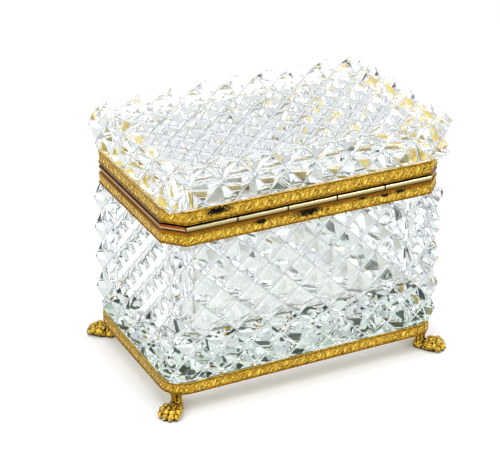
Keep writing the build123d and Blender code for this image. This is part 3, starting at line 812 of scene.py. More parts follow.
def leaf_motif(pitch: float, reach: float, height: float) -> bpy.types.Object:
    """Draws one repeat of a slanting leaf scroll: three leaves and two beads.

    Args:
        pitch: length of the repeat, in millimetres.
        reach: half the height of the field that it fills.
        height: rise above the field.

    Returns:
        The motif object.
    """
    relief = Relief()
    # base and tip as shares of the pitch and the reach, then width and rise
    for base, tip, width, rise in (
        ((-0.42, -0.80), (0.20, 0.84), 1.55, 1.0),
        ((0.00, -0.88), (0.46, 0.16), 1.15, 0.85),
        ((-0.47, -0.02), (-0.13, 0.90), 1.05, 0.8),
        ((0.22, 0.66), (0.46, 0.66), 0.85, 0.9),
        ((-0.16, -0.70), (0.04, -0.70), 0.7, 0.7),
    ):
        start = (base[0] * pitch, base[1] * reach)
        end = (tip[0] * pitch, tip[1] * reach)
        relief.petal(start, end, width, rise * height)
    return relief.finish("leaf_motif")


def repeat_tree() -> bpy.types.NodeTree:
    """Builds the node tree that sets a motif along every spline of a path."""
    tree = bpy.data.node_groups.new("ornament_along_band", "GeometryNodeTree")
    face = tree.interface
    face.new_socket("Geometry", in_out="INPUT", socket_type="NodeSocketGeometry")
    for name, kind in (
        ("Motif", "NodeSocketObject"),
        ("Pitch", "NodeSocketFloat"),
        ("Unevenness", "NodeSocketFloat"),
        ("Lean", "NodeSocketFloat"),
        ("Seed", "NodeSocketInt"),
        ("Finish", "NodeSocketMaterial"),
    ):
        face.new_socket(name, in_out="INPUT", socket_type=kind)
    face.new_socket("Geometry", in_out="OUTPUT", socket_type="NodeSocketGeometry")
    given = add_node(tree, "NodeGroupInput").outputs
    length = add_node(tree, "GeometryNodeSplineLength").outputs["Length"]
    cells = add_node(tree, "ShaderNodeMath", {0: length, 1: given["Pitch"]}, operation="DIVIDE")
    whole = add_node(tree, "ShaderNodeMath", {0: cells.outputs[0]}, operation="ROUND")
    whole = add_node(tree, "ShaderNodeMath", {0: whole.outputs[0], 1: 1.0}, operation="MAXIMUM")
    count = add_node(
        tree, "ShaderNodeMath", {0: whole.outputs[0], 1: 2.0, 2: 1.0}, operation="MULTIPLY_ADD"
    )
    stretch = add_node(
        tree, "ShaderNodeMath", {0: cells.outputs[0], 1: whole.outputs[0]}, operation="DIVIDE"
    )
    stretched = add_node(
        tree,
        "GeometryNodeStoreNamedAttribute",
        {"Geometry": given["Geometry"], "Name": "stretch", "Value": stretch.outputs[0]},
        data_type="FLOAT",
        domain="CURVE",
    )
    fine = add_node(
        tree,
        "GeometryNodeResampleCurve",
        {"Curve": stretched.outputs["Geometry"], "Count": count.outputs[0]},
        mode="COUNT",
    )
    index = add_node(tree, "GeometryNodeSplineParameter").outputs["Index"]
    odd = add_node(tree, "ShaderNodeMath", {0: index, 1: 2.0}, operation="MODULO")
    marked = add_node(
        tree,
        "GeometryNodeStoreNamedAttribute",
        {"Geometry": fine.outputs["Curve"], "Name": "middle", "Value": odd.outputs[0]},
        data_type="FLOAT",
        domain="POINT",
    )
    points = add_node(
        tree, "GeometryNodeCurveToPoints", {"Curve": marked.outputs["Geometry"]}, mode="EVALUATED"
    )
    middle = add_node(tree, "GeometryNodeInputNamedAttribute", {"Name": "middle"}, data_type="FLOAT")
    wide = add_node(tree, "GeometryNodeInputNamedAttribute", {"Name": "stretch"}, data_type="FLOAT")
    low = add_node(tree, "ShaderNodeMath", {0: 1.0, 1: given["Unevenness"]}, operation="SUBTRACT")
    uneven = add_node(
        tree,
        "FunctionNodeRandomValue",
        {2: low.outputs[0], 3: 1.0, "Seed": given["Seed"]},
        data_type="FLOAT",
    )
    scale = add_node(
        tree,
        "ShaderNodeCombineXYZ",
        {"X": wide.outputs["Attribute"], "Y": uneven.outputs[1], "Z": 1.0},
    )
    turn = add_node(
        tree,
        "FunctionNodeAlignRotationToVector",
        {"Vector": points.outputs["Tangent"]},
        axis="X",
        pivot_axis="Z",
    )
    back = add_node(tree, "ShaderNodeMath", {0: 0.0, 1: given["Lean"]}, operation="SUBTRACT")
    lean = add_node(
        tree,
        "FunctionNodeRandomValue",
        {2: back.outputs[0], 3: given["Lean"], "Seed": given["Seed"]},
        data_type="FLOAT",
    )
    leaning = add_node(
        tree, "FunctionNodeAxisAngleToRotation", {"Axis": (0.0, 1.0, 0.0), "Angle": lean.outputs[1]}
    )
    turn = add_node(
        tree,
        "FunctionNodeRotateRotation",
        {"Rotation": turn.outputs["Rotation"], "Rotate By": leaning.outputs["Rotation"]},
        rotation_space="LOCAL",
    )
    motif = add_node(tree, "GeometryNodeObjectInfo", {"Object": given["Motif"]})
    placed = add_node(
        tree,
        "GeometryNodeInstanceOnPoints",
        {
            "Points": points.outputs["Points"],
            "Selection": middle.outputs["Attribute"],
            "Instance": motif.outputs["Geometry"],
            "Rotation": turn.outputs["Rotation"],
            "Scale": scale.outputs["Vector"],
        },
    )
    solid = add_node(tree, "GeometryNodeRealizeInstances", {"Geometry": placed.outputs["Instances"]})
    done = add_node(
        tree,
        "GeometryNodeSetMaterial",
        {"Geometry": solid.outputs["Geometry"], "Material": given["Finish"]},
    )
    add_node(tree, "NodeGroupOutput", {"Geometry": done.outputs["Geometry"]})
    return tree


def run_tree(
    path: bpy.types.Object, tree: bpy.types.NodeTree, name: str, values: dict[str, Any]
) -> bpy.types.Object:
    """Runs a node tree on an object and returns the result as a plain mesh.

    Args:
        path: curve or mesh object; it is removed.
        tree: node tree to run.
        name: name of the finished piece.
        values: input name to value.

    Returns:
        The finished piece.
    """
    modifier = path.modifiers.new("ornament", "NODES")
    modifier.node_group = tree
    for item in tree.interface.items_tree:
        if item.in_out == "INPUT" and item.name in values:
            modifier[item.identifier] = values[item.name]
    piece = baked(path, name)
    for attribute in ("middle", "stretch"):
        found = piece.data.attributes.get(attribute)
        if found:
            piece.data.attributes.remove(found)
    return piece


# ------------------------------------------------------------------ sub-assemblies
@dataclass
class CutGlass:
    """The box and the lid, cut all over with diamonds, and the plaster that they are bedded in.

    Both glasses are CAD nodes. The wheel leaves a narrow ground line at the bottom of each groove.
    """

    crystal: LeadCrystal = LeadCrystal()
    ground: LeadCrystal = LeadCrystal(
        "lead_crystal_ground_line",
        clear="#B9C2C6",
        thick="#F6FBF9",
        roughness=0.35,
        transmission=0.3,
    )
    bodies: dict[str, str] = field(
        default_factory=lambda: {"body_glass": "box", "lid_glass": "lid"}
    )
    beddings: dict[str, tuple[str, Plaster]] = field(
        default_factory=lambda: {
            "base_cement": (
                "box",
                Plaster(
                    "plaster_bedding_base",
                    "#CEDAD3",
                    "#4A574A",
                    stain_mm=10.0,
                    stain_detail=1.0,
                    softness=0.02,
                ),
            ),
            "body_cement": (
                "box",
                Plaster("plaster_bedding_rim", "#EEF2EA", "#6B6140", stain_mm=15.0, stain_detail=0.0, softness=0.03),
            ),
            "lid_cement": (
                "lid",
                Plaster(
                    "plaster_bedding_golden",
                    "#F2F4EA",
                    "#94946C",
                    stain_mm=9.0,
                    softness=0.08,
                    ends="#D8C464",
                    ends_from_mm=60.0,
                ),
            ),
        }
    )
    line_radius: float = 0.24
    # diamonds cut in the underside: steps along X and Y, half a diagonal, and the grooves' depth
    cut_steps: tuple[int, int] = (12, 6)
    cut_step: float = 10.0
    cut_depth: float = 1.5
    # dust in the corner where the hollow's walls meet its floor
    dust_inset: float = 10.57
    dust_height: float = 36.37
    dust_corner: float = 6.9
    dust_radius: float = 0.3
    least_fold: float = 40.0
    # how far the bedding keys into the glass, so that no face of it lies in a face of the glass
    key: float = 0.05

    def _groove_edges(self, node: str) -> bpy.types.Object:
        """Makes a mesh of the grooves' bottom edges.

        Args:
            node: name of the glass node.

        Returns:
            An object with edges only, in the scene.
        """
        bm = bmesh.new()
        bm.from_mesh(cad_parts[node].data)
        bmesh.ops.remove_doubles(bm, verts=bm.verts, dist=1e-6)
        bm.normal_update()
        low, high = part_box(node)
        depth = 5.0 * MM
        places: list[Vector] = []
        edges: list[tuple[int, int]] = []
        for edge in bm.edges:
            if len(edge.link_faces) != 2 or edge.calc_length() < 0.8 * MM:
                continue
            if edge.calc_face_angle_signed() > -math.radians(self.least_fold):
                continue
            a, b = (v.co.copy() for v in edge.verts)
            run = (b - a).normalized()
            if sum(abs(c) > 0.2 for c in run) < 2:
                continue
            m = (a + b) / 2
            outer = (
                min(m.x - low[0], high[0] - m.x, m.y - low[1], high[1] - m.y) < depth
                or (node == "lid_glass" and high[2] - m.z < depth)
            )
            if outer:
                edges.append((len(places), len(places) + 1))
                places += [a, b]
        bm.free()
        mesh = bpy.data.meshes.new("grooves")
        mesh.from_pydata([tuple(p) for p in places], edges, [])
        return link(bpy.data.objects.new("grooves", mesh))

    def _line_tree(self) -> bpy.types.NodeTree:
        """Builds the node tree that lays a thin round line along every edge."""
        tree = bpy.data.node_groups.new("line_along_grooves", "GeometryNodeTree")
        face = tree.interface
        face.new_socket("Geometry", in_out="INPUT", socket_type="NodeSocketGeometry")
        face.new_socket("Radius", in_out="INPUT", socket_type="NodeSocketFloat")
        face.new_socket("Finish", in_out="INPUT", socket_type="NodeSocketMaterial")
        face.new_socket("Geometry", in_out="OUTPUT", socket_type="NodeSocketGeometry")
        given = add_node(tree, "NodeGroupInput").outputs
        joined = add_node(
            tree, "GeometryNodeMergeByDistance", {"Geometry": given["Geometry"], "Distance": 1e-6}
        )
        curves = add_node(tree, "GeometryNodeMeshToCurve", {"Mesh": joined.outputs["Geometry"]})
        round_line = add_node(
            tree, "GeometryNodeCurvePrimitiveCircle", {"Resolution": 6, "Radius": given["Radius"]}
        )
        line = add_node(
            tree,
            "GeometryNodeCurveToMesh",
            {
                "Curve": curves.outputs["Curve"],
                "Profile Curve": round_line.outputs["Curve"],
                "Fill Caps": True,
            },
        )
        solid = add_node(tree, "GeometryNodeRealizeInstances", {"Geometry": line.outputs["Mesh"]})
        done = add_node(
            tree,
            "GeometryNodeSetMaterial",
            {"Geometry": solid.outputs["Geometry"], "Material": given["Finish"]},
        )
        add_node(tree, "NodeGroupOutput", {"Geometry": done.outputs["Geometry"]})
        return tree

    def _underside(self) -> bpy.types.Mesh:
        """Builds the flat underside of the box again, with diamonds cut inside the ledge."""
        bm = bmesh.new()
        bm.from_mesh(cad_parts["body_glass"].data)
        bmesh.ops.remove_doubles(bm, verts=bm.verts, dist=1e-6)
        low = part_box("body_glass")[0][2]
        flat = {f for f in bm.faces if all(abs(v.co.z - low) < 1e-5 for v in f.verts)}
        bmesh.ops.delete(bm, geom=[f for f in bm.faces if f not in flat], context="FACES")
        rim = [e for e in bm.edges if len(e.link_faces) == 1]
        inner = [e for e in bm.edges if len(e.link_faces) == 2]
        bmesh.ops.delete(bm, geom=bm.faces[:], context="FACES_ONLY")
        bmesh.ops.delete(bm, geom=inner, context="EDGES")
        across, along = self.cut_steps
        grid = {}
        for i in range(across + 1):
            for j in range(along + 1):
                inside = 0 < i < across and 0 < j < along
                cut = self.cut_depth if inside and (i + j) % 2 == 0 else 0.0
                x, y = (i - across / 2) * self.cut_step, (j - along / 2) * self.cut_step
                grid[i, j] = bm.verts.new((x * MM, y * MM, low + cut * MM))
        for (i, j), peak in grid.items():
            if (i + j) % 2 == 0:
                continue
            ring = [grid.get(place) for place in ((i + 1, j), (i, j + 1), (i - 1, j), (i, j - 1))]
            for a, b in zip(ring, ring[1:] + ring[:1]):
                if a and b:
                    bm.faces.new((peak, b, a))
        edge = [e for e in bm.edges if len(e.link_faces) == 1]
        bmesh.ops.triangle_fill(bm, edges=rim + edge, use_beauty=True, normal=(0.0, 0.0, -1.0))
        bm.normal_update()
        for face in bm.faces:
            if face.normal.z > 0:
                face.normal_flip()
        mesh = bpy.data.meshes.new("underside")
        bm.to_mesh(mesh)
        bm.free()
        return mesh

    def _cut_box(self) -> bpy.types.Object:
        """Builds the box's glass with its cut underside, in its node's place."""
        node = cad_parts["body_glass"]
        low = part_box("body_glass")[0][2]
        underside = self._underside()
        bm = bmesh.new()
        bm.from_mesh(node.data)
        flat = [f for f in bm.faces if all(abs(v.co.z - low) < 1e-5 for v in f.verts)]
        bmesh.ops.delete(bm, geom=flat, context="FACES")
        bm.from_mesh(underside)
        bpy.data.meshes.remove(underside)
        mesh = node.data.copy()
        bm.to_mesh(mesh)
        bm.free()
        mesh.name = "body_glass_cut"
        piece = link(bpy.data.objects.new("body_glass_cut", mesh))
        dress(piece, self.crystal.material())
        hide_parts("body_glass")
        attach(piece, "box")
        return piece

    def _dust_edges(self) -> bpy.types.Object:
        """Makes a closed line of edges round the corner of the hollow's floor."""
        half_x = FRAME_LENGTH / 2 - self.dust_inset - self.dust_corner
        half_y = FRAME_DEPTH / 2 - self.dust_inset - self.dust_corner
        steps = 8
        places = []
        for sx, sy, start in ((1, 1, 0), (-1, 1, 90), (-1, -1, 180), (1, -1, 270)):
            for i in range(steps + 1):
                turn = math.radians(start + 90 * i / steps)
                x = sx * half_x + self.dust_corner * math.cos(turn)
                y = sy * half_y + self.dust_corner * math.sin(turn)
                places.append((x * MM, y * MM, self.dust_height * MM))
        count = len(places)
        mesh = bpy.data.meshes.new("dust")
        mesh.from_pydata(places, [(i, (i + 1) % count) for i in range(count)], [])
        return link(bpy.data.objects.new("dust", mesh))

    def _bedding(self, node: str, body: str, finish: Plaster) -> bpy.types.Object:
        """Builds one ring of plaster, a hair larger than its node, in the node's place."""
        bm = bmesh.new()
        bm.from_mesh(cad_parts[node].data)
        bmesh.ops.remove_doubles(bm, verts=bm.verts, dist=1e-6)
        bmesh.ops.recalc_face_normals(bm, faces=bm.faces)
        moves = [v.normal * v.calc_shell_factor() * self.key * MM for v in bm.verts]
        for vertex, move in zip(bm.verts, moves):
            vertex.co += move
        mesh = bpy.data.meshes.new(f"{node}_keyed")
        bm.to_mesh(mesh)
        bm.free()
        piece = link(bpy.data.objects.new(f"{node}_keyed", mesh))
        dress(piece, finish.material())
        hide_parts(node)
        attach(piece, body)
        return piece

    def build(self) -> list[bpy.types.Object]:
        """Builds the ground lines of both glasses and the bedding.

        Returns:
            The new pieces.
        """
        tree = self._line_tree()
        ground = self.ground.material()
        pieces = [self._cut_box()]
        for node, body in self.bodies.items():
            values = {"Radius": self.line_radius * MM, "Finish": ground}
            piece = run_tree(self._groove_edges(node), tree, f"{node}_lines", values)
            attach(piece, body)
            pieces.append(piece)
        grey = Plaster("dust_in_corner", "#7F7E62", "#4F4E38", stain_mm=4.0).material()
        values = {"Radius": self.dust_radius * MM, "Finish": grey}
        dust = run_tree(self._dust_edges(), tree, "floor_dust_line", values)
        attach(dust, "box")
        pieces.append(dust)
        for node, (body, finish) in self.beddings.items():
            pieces.append(self._bedding(node, body, finish))
        for piece in pieces:
            LOG.info("glass %s: %d faces", piece.name, len(piece.data.polygons))
        return pieces

    def dress(self) -> None:
        """Gives both glasses the crystal finish."""
        material = self.crystal.material()
        for node in self.bodies:
            dress(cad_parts[node], material)
            LOG.info("node %s: %s", node, material.name)


@dataclass
class EmbossedBand:
    """One stamped strip: a granulated field, plain rims, and a leaf scroll in relief."""

    node: str
    body: str
    round_corners: bool
    seed: int
    pitch: float = 4.8
    height: float = 0.5
    spots: tuple[tuple[float, float, float, float], ...] = ()

    def build(self, tree: bpy.types.NodeTree) -> bpy.types.Object:
        """Builds the leaf scroll over the strip's field.

        Args:
            tree: node tree that repeats the motif.

        Returns:
            The scroll of the whole strip.
        """
        # low and bright: brown tarnish with painted shade in the scroll's hollows, and painted light on its crests
        chased = GiltBrass(
            f"gilt_brass_chased_{self.node}",
            Surface.CHASED,
            bright="#FFE264",
            low="#663809",
            mottle=0.75,
            mottle_mm=1.1,
            tarnish="#8A4E1E",
            tarnish_amount=0.65,
            patch_mm=3.0,
            roughness=0.16,
            spots=self.spots,
        ).material()
        low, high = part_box(self.node)
        bottom, top = low[2] / MM, high[2] / MM
        reach = (top - bottom) / 2 - 0.35 * BAND_RIM
        motif = leaf_motif(self.pitch, reach, self.height)
        outline = base_sides if self.round_corners else collar_sides
        path = path_object(outline(BAND_RELIEF), (bottom + top) / 2)
        piece = run_tree(
            path,
            tree,
            f"{self.node}_scroll",
            {
                "Motif": motif,
                "Pitch": self.pitch * MM,
                "Unevenness": 0.45,
                "Lean": math.radians(13),
                "Seed": self.seed,
                "Finish": chased,
            },
        )
        bpy.data.objects.remove(motif)
        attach(piece, self.body)
        LOG.info("ornament %s: %d faces", piece.name, len(piece.data.polygons))
        return piece

    def dress(self) -> None:
        """Gives the strip its granulated field, burnished rims and a painted shade line inside the rims."""
        low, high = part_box(self.node)
        ground = GiltBrass(
            f"gilt_brass_granulated_{self.node}",
            Surface.GRANULATED,
            bright="#FFC93E",
            low="#331B07",
            tarnish="#7A4420",
            tarnish_amount=0.6,
            patch_mm=3.5,
            mottle=0.75,
            mottle_mm=1.0,
            # field_mm also sets where the painted shade line inside each rim lies
            field_mm=(low[2] / MM + 0.3 * BAND_RIM, high[2] / MM - 0.3 * BAND_RIM),
            spots=self.spots,
        )
        dress(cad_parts[self.node], ground.material())


@dataclass
class PawFoot:
    """Cast lion paw: fluted ankle under the frame, broad pad, four curled toes with claws."""

    voxel: float = 0.28
    knob_scale: float = 1.15
    knob_depth: float = 0.42
    # how far and how strongly the colour darkens in the hollows
    hollow_spread: int = 10
    hollow_depth: float = 0.13
    inset: float = 6.3
    length: float = 12.2
    height: float = 10.2
    toe_offsets: tuple[float, ...] = (-4.1, -1.4, 1.4, 4.1)
    feet: dict[str, Point2] = field(
        default_factory=lambda: {
            "foot_front_left": (-1, -1),
            "foot_front_right": (1, -1),
            "foot_rear_left": (-1, 1),
            "foot_rear_right": (1, 1),
        }
    )

    def _ellipsoid(self, bm: bmesh.types.BMesh, centre: Point3, radii: Point3, tilt: float = 0.0) -> None:
        """Adds an ellipsoid, tilted about Y by an angle in degrees."""
        place = (
            Matrix.Translation(centre)
            @ Matrix.Rotation(math.radians(tilt), 4, "Y")
            @ Matrix.Diagonal((*radii, 1.0))
        )
        bmesh.ops.create_icosphere(bm, subdivisions=3, radius=1.0, matrix=place)

    def _column(self, bm: bmesh.types.BMesh) -> None:
        """Adds the ankle: a round column that flares under the frame."""
        profile = [(3.1, 2.0), (2.75, 4.6), (2.5, 6.2), (2.7, 7.6), (3.3, 9.0), (3.9, self.height)]
        segments = 40
        rows = []
        for radius, z in profile:
            row = []
            for i in range(segments):
                turn = 2 * math.pi * i / segments
                flute = 1 + 0.10 * math.cos(8 * turn)
                row.append(bm.verts.new((radius * flute * math.cos(turn), radius * flute * math.sin(turn), z)))
            rows.append(row)
        for a, b in zip(rows, rows[1:]):
            for i in range(segments):
                j = (i + 1) % segments
                bm.faces.new((a[i], a[j], b[j], b[i]))
        bm.faces.new(list(reversed(rows[0])))
        bm.faces.new(rows[-1])

    def _shape(self) -> bpy.types.Object:
        """Joins the forms of one paw, toes towards +X, into one closed skin."""
        bm = bmesh.new()
        self._column(bm)
        self._ellipsoid(bm, (1.0, 0, 1.6), (4.3, 3.7, 3.4))
        self._ellipsoid(bm, (6.0, 0, 1.3), (6.6, 4.6, 3.4), 8)
        for y in self.toe_offsets:
            x = self.length - 0.09 * y * y
            self._ellipsoid(bm, (x - 4.6, y * 0.9, 3.0), (3.0, 1.65, 1.8), 10)
            self._ellipsoid(bm, (x - 1.9, y, 3.55), (1.75, 1.62, 1.55), 25)
            self._ellipsoid(bm, (x - 0.1, y, 2.2), (1.7, 1.52, 1.4), 50)
            self._ellipsoid(bm, (x + 0.75, y, 1.0), (1.05, 0.55, 0.8), 55)
        bmesh.ops.recalc_face_normals(bm, faces=bm.faces)
        mesh = bpy.data.meshes.new("paw")
        bm.to_mesh(mesh)
        bm.free()
        paw = link(bpy.data.objects.new("paw", mesh))
        remesh = paw.modifiers.new("skin", "REMESH")
        remesh.mode = "VOXEL"
        remesh.voxel_size = self.voxel
        remesh.use_smooth_shade = True
        relax = paw.modifiers.new("relax", "SMOOTH")
        relax.factor = 0.5
        relax.iterations = 3
        return baked(paw, "paw")

    def _carve(self, mesh: bpy.types.Mesh) -> None:
        """Cuts the fur and knobs, flattens the sole, and stores each point's tone: dark in hollows, painted shadow at
        the sole.
        """
        for vertex, normal in zip(mesh.vertices, [n.vector.copy() for n in mesh.vertex_normals]):
            x, y, z = vertex.co
            fur = math.sin(5.2 * y + 1.2 * math.sin(0.9 * x)) * math.sin(1.1 * x + 0.6)
            on_back = max(0.0, min(1.0, (9.0 - x) / 3)) * max(0.0, min(1.0, (x - 1.5) / 2))
            # the knobs stop below the smooth ankle
            on_paw = max(0.15, min(1.0, (6.2 - z) / 1.2))
            knob = on_paw * noise.noise(vertex.co * self.knob_scale)
            depth = 0.16 * fur * on_back * max(0.0, normal.z) + self.knob_depth * knob
            moved = vertex.co + normal * depth
            moved.z = min(max(moved.z, 0.0), self.height)
            vertex.co = moved
        count = len(mesh.vertices)
        place = np.empty(count * 3, dtype=np.float32)
        mesh.vertices.foreach_get("co", place)
        place = place.reshape(-1, 3).astype(float)
        ends = np.empty(len(mesh.edges) * 2, dtype=np.int32)
        mesh.edges.foreach_get("vertices", ends)
        ends = ends.reshape(-1, 2)
        valence = np.bincount(ends.ravel(), minlength=count)[:, None]
        soft = place.copy()
        for _ in range(self.hollow_spread):
            total = np.zeros_like(soft)
            np.add.at(total, ends[:, 0], soft[ends[:, 1]])
            np.add.at(total, ends[:, 1], soft[ends[:, 0]])
            soft = total / valence
        normals = np.array([n.vector for n in mesh.vertex_normals])
        hollow = ((soft - place) * normals).sum(axis=1)
        # the colour darkens in the hollows
        lit_and_clean = np.clip(0.62 - hollow / self.hollow_depth, 0.0, 1.0)
        # painted shadow: the lowest 1.2 mm of the paw, where it meets the table, is drawn near black
        lit_and_clean *= np.where(place[:, 2] < 1.2, 0.1, 1.0)
        rise = mesh.attributes.new("rise", "FLOAT", "POINT")
        rise.data.foreach_set("value", lit_and_clean.astype(np.float32))

    def build(self, chased: bpy.types.Material) -> list[bpy.types.Object]:
        """Builds the four feet and puts each in its node's place.

        Args:
            chased: finish of the feet.

        Returns:
            The four feet.
        """
        paw = self._shape()
        self._carve(paw.data)
        feet = []
        for name, (side, end) in self.feet.items():
            mesh = paw.data.copy()
            x = side * (FRAME_LENGTH / 2 - self.inset)
            y = end * (FRAME_DEPTH / 2 - self.inset)
            outward = math.atan2(end, side)
            mesh.transform(
                Matrix.Scale(MM, 4) @ Matrix.Translation((x, y, 0)) @ Matrix.Rotation(outward, 4, "Z")
            )
            foot = link(bpy.data.objects.new(name.replace("foot_", "paw_"), mesh))
            dress(foot, chased, smooth=True)
            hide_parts(name)
            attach(foot, "box")
            LOG.info("foot %s: %d faces", foot.name, len(mesh.polygons))
            feet.append(foot)
        bpy.data.objects.remove(paw)
        return feet


@dataclass
class ThumbPalmette:
    """Fan of seven leaves chased on the thumb piece, clear of its rivets."""

    node: str = "thumb_piece"
    plate_front: float = 46.85
    foot: float = 99.2
    height: float = 0.5
    # for the middle leaf and each pair: foot and tip along X, tip above the table, width
    leaves: tuple[tuple[float, float, float, float], ...] = (
        (0.0, 0.0, 105.9, 2.4),
        (1.1, 2.5, 103.6, 1.6),
        (2.1, 4.4, 102.2, 1.5),
        (3.2, 7.4, 103.9, 1.5),
    )

    def build(self) -> bpy.types.Object:
        """Builds the fan.

        Returns:
            The finished piece.
        """
        relief = Relief()
        for foot_x, tip_x, tip_z, width in self.leaves:
            for way in (1, -1) if tip_x else (1,):
                relief.petal(
                    (way * foot_x, self.foot), (way * tip_x, tip_z), width, self.height, droop=0.6
                )
        piece = relief.finish("thumb_palmette")
        piece.data.transform(Matrix.Translation((0.0, -self.plate_front * MM, 0.0)))
        dress(piece, GiltBrass("gilt_brass_chased_thumb", Surface.CHASED, mottle=0.4).material())
        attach(piece, "lid")
        LOG.info("ornament %s: %d faces", piece.name, len(piece.data.polygons))
        return piece


@dataclass
class Mounts:
    """All the brass work: bands, collars, moulding, hinge, feet and thumb piece."""

    bands: tuple[EmbossedBand, ...] = (
        EmbossedBand("base_band", "box", True, 3),
        EmbossedBand(
            "body_band",
            "box",
            False,
            5,
            spots=(
                (27.0, 45.6, 94.4, 5.5),
                (2.0, 45.6, 94.4, 10.5),
                (-27.0, 45.6, 95.0, 3.6),
                (-40.0, 45.6, 94.2, 4.2),
                (-49.0, 45.6, 94.6, 5.0),
            ),
        ),
        EmbossedBand("lid_band", "lid", False, 8, spots=((50.0, 45.6, 104.9, 9.5),)),
    )
    feet: PawFoot = field(default_factory=PawFoot)
    palmette: ThumbPalmette = field(default_factory=ThumbPalmette)
    rod_nodes: tuple[str, ...] = ("rim_moulding",)
    hinge_nodes: tuple[str, ...] = ("hinge_leaf_body", "hinge_leaf_lid")
    hinge_joints: tuple[float, ...] = (13.2, 39.6)
    plain_nodes: tuple[str, ...] = ("thumb_piece", "thumb_rivets")
    dark_nodes: tuple[str, ...] = ("body_collar",)
    hidden_nodes: tuple[str, ...] = (
        "base_frame",
        "lid_collar",
        "locating_lip",
        "hinge_pin",
        "hinge_rivets_body",
        "hinge_rivets_lid",
        "foot_rivets",
    )

    def build(self) -> None:
        """Builds the bands' scrolls and the feet."""
        tree = repeat_tree()
        for band in self.bands:
            band.build(tree)
        # the feet's near-black low colour serves the hollows and the painted shadow along the sole
        cast = GiltBrass(
            "gilt_brass_cast",
            Surface.CHASED,
            bright="#EFC44A",
            low="#1C0E03",
            patch_mm=5.0,
            roughness=0.2,
            mottle=0.75,
            mottle_mm=1.0,
            grain_mm=0.7,
            grain_depth_mm=0.25,
        )
        self.feet.build(cast.material())
        self.palmette.build()

    def dress(self) -> None:
        """Gives every brass node its finish."""
        for band in self.bands:
            band.dress()
        plain = GiltBrass(
            "gilt_brass_plain", Surface.PLAIN, bright="#EBC352", tarnish_amount=0.5, roughness=0.2
        ).material()
        # parts seen in the gaps between bands are drawn darker and duller: painted shade
        gap_shaded = GiltBrass(
            "brass_painted_gap_shade", Surface.PLAIN, bright="#C4B468", low="#4A4020", tarnish_amount=0.4, roughness=0.35
        ).material()
        # body collar: darker brown on upright faces, and flat faces drawn bright as painted light where the barrel
        # shades the flange
        dark = PaintedLightRod(
            "brass_dark_uprights_lit_flats", shades=((0.0, "#A0742E"), (1.0, "#8A5E26")), lit_and_clean="#F2CF66", roughness=0.6
        ).material()
        # moulding: painted shade lines at top and bottom, a pale painted highlight stripe, and brown between
        rod = PaintedLightRod(
            shades=(
                (0.0, "#120906"),
                (0.1, "#5E3A20"),
                (0.32, "#A87E56"),
                (0.44, "#DABC8C"),
                (0.52, "#744222"),
                (0.62, "#8A4C18"),
                (0.72, "#5A2610"),
                (0.8, "#180A06"),
                (1.0, "#0A0605"),
            )
        ).material()
        barrel = PaintedLightRod("gilt_brass_barrel_painted_light", joints_mm=self.hinge_joints).material()
        for names, material in (
            (self.plain_nodes, plain),
            (self.hidden_nodes, gap_shaded),
            (self.dark_nodes, dark),
            (self.rod_nodes, rod),
            (self.hinge_nodes, barrel),
        ):
            for name in names:
                dress(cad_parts[name], material)
                LOG.info("node %s: %s", name, material.name)


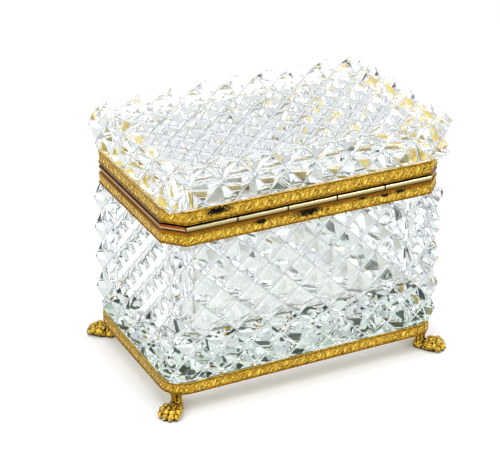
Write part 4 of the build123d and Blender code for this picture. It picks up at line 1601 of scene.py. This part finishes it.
# ------------------------------------------------------------------ studio
@dataclass(frozen=True)
class Studio:
    """White paper, soft lamps and the camera at the photograph's angle."""

    azimuth: float = 152.67
    elevation: float = 26.61
    roll: float = 0.72
    distance: float = 888.49
    target: Point3 = (9.66, 0.0, 64.56)
    focal_pixels: float = 1785.19
    image_width: int = 500
    sensor: float = 36.0
    world_strength: float = 0.9
    # a white tent, a little lilac overhead, and greyer round the camera
    bright_side: str = "#F4F7F8"
    overhead: str = "#D3D4E1"
    dark_side: str = "#A4AAA9"
    # narrow dark panels left and right of the casket give the facets their edge
    panel: str = "#3E423A"
    panel_from: float = 0.90
    panel_to: float = 0.95
    panel_top: float = 0.28
    dark_lift: float = -0.1
    dark_from: float = 0.45
    dark_to: float = 0.85
    # name, place in metres, size, power in watts
    lamps: tuple[tuple[str, Point3, float, float], ...] = (
        ("softbox_top", (0.1, 0.1, 1.1), 1.5, 14.0),
        ("softbox_left", (1.2, 0.6, 0.7), 0.9, 8.0),
        ("softbox_right", (-1.0, 1.0, 0.8), 0.8, 6.0),
    )

    def camera(self) -> None:
        """Adds the camera."""
        a, e = math.radians(self.azimuth), math.radians(self.elevation)
        back = Vector((math.sin(a) * math.cos(e), -math.cos(a) * math.cos(e), math.sin(e)))
        data = bpy.data.cameras.new("camera")
        data.sensor_width = self.sensor
        data.lens = self.focal_pixels / self.image_width * self.sensor
        data.clip_start = 0.05
        camera = link(bpy.data.objects.new("camera", data))
        place = Vector(self.target) * MM + back * self.distance * MM
        turn = back.to_track_quat("Z", "Y").to_matrix().to_4x4()
        camera.matrix_world = Matrix.Translation(place) @ turn @ Matrix.Rotation(math.radians(self.roll), 4, "Z")
        bpy.context.scene.camera = camera

    def light(self) -> None:
        """Adds the world light and the soft lamps."""
        scene = bpy.context.scene
        world = bpy.data.worlds.new("studio")
        scene.world = world
        world.use_nodes = True
        world.node_tree.nodes.clear()
        tree = world.node_tree
        way = add_node(tree, "ShaderNodeTexCoord").outputs["Generated"]
        a = math.radians(self.azimuth)
        towards = add_node(
            tree,
            "ShaderNodeVectorMath",
            {0: way, 1: (math.sin(a), -math.cos(a), self.dark_lift)},
            operation="DOT_PRODUCT",
        )
        shade = add_node(
            tree,
            "ShaderNodeMapRange",
            {"Value": towards.outputs["Value"], "From Min": self.dark_from, "From Max": self.dark_to},
            interpolation_type="SMOOTHSTEP",
        )
        up = add_node(tree, "ShaderNodeSeparateXYZ", {"Vector": way}).outputs["Z"]
        high = add_node(
            tree, "ShaderNodeMapRange", {"Value": up, "From Min": 0.35, "From Max": 0.95}
        )
        tent = add_node(
            tree,
            "ShaderNodeMix",
            {0: high.outputs["Result"], 6: linear(self.bright_side), 7: linear(self.overhead)},
            data_type="RGBA",
        )
        tone = add_node(
            tree,
            "ShaderNodeMix",
            {0: shade.outputs["Result"], 6: tent.outputs[2], 7: linear(self.dark_side)},
            data_type="RGBA",
        )
        across = add_node(
            tree,
            "ShaderNodeVectorMath",
            {0: way, 1: (math.cos(a), math.sin(a), 0.0)},
            operation="DOT_PRODUCT",
        )
        aside = add_node(
            tree, "ShaderNodeMath", {0: across.outputs["Value"]}, operation="ABSOLUTE"
        )
        beside = add_node(
            tree,
            "ShaderNodeMapRange",
            {"Value": aside.outputs[0], "From Min": self.panel_from, "From Max": self.panel_to},
        )
        low = add_node(
            tree,
            "ShaderNodeMath",
            {0: up, 1: self.panel_top},
            operation="LESS_THAN",
        )
        panel = add_node(
            tree, "ShaderNodeMath", {0: beside.outputs["Result"], 1: low.outputs[0]}, operation="MULTIPLY"
        )
        tone = add_node(
            tree,
            "ShaderNodeMix",
            {0: panel.outputs[0], 6: tone.outputs[2], 7: linear(self.panel)},
            data_type="RGBA",
        )
        sky = add_node(
            tree,
            "ShaderNodeBackground",
            {"Color": tone.outputs[2], "Strength": self.world_strength},
        )
        add_node(world.node_tree, "ShaderNodeOutputWorld", {"Surface": sky.outputs["Background"]})
        for name, place, size, power in self.lamps:
            lamp = bpy.data.lights.new(name, "AREA")
            lamp.shape = "SQUARE"
            lamp.size = size
            lamp.energy = power
            holder = link(bpy.data.objects.new(name, lamp))
            aim = Vector((0, 0, 0.06)) - Vector(place)
            holder.matrix_world = Matrix.Translation(place) @ aim.to_track_quat("-Z", "Y").to_matrix().to_4x4()
        scene.view_settings.view_transform = "Standard"
        scene.cycles.max_bounces = 64
        scene.cycles.transmission_bounces = 64
        scene.cycles.glossy_bounces = 64
        scene.cycles.diffuse_bounces = 3

    def floor(self) -> None:
        """Adds the paper under the casket."""
        bm = bmesh.new()
        bmesh.ops.create_grid(bm, x_segments=8, y_segments=8, size=4.0)
        mesh = bpy.data.meshes.new("studio_floor")
        bm.to_mesh(mesh)
        bm.free()
        paper = link(bpy.data.objects.new("studio_floor", mesh))
        dress(paper, StudioPaper().material())

    def build(self) -> None:
        """Sets up the whole studio."""
        self.camera()
        self.light()
        self.floor()


def main() -> None:
    """Builds and dresses the casket and sets up the studio."""
    logging.basicConfig(level=logging.INFO, format="%(message)s")
    Studio().build()
    glass = CutGlass()
    glass.build()
    glass.dress()
    mounts = Mounts()
    mounts.build()
    mounts.dress()


if __name__ == "__main__":
    main()
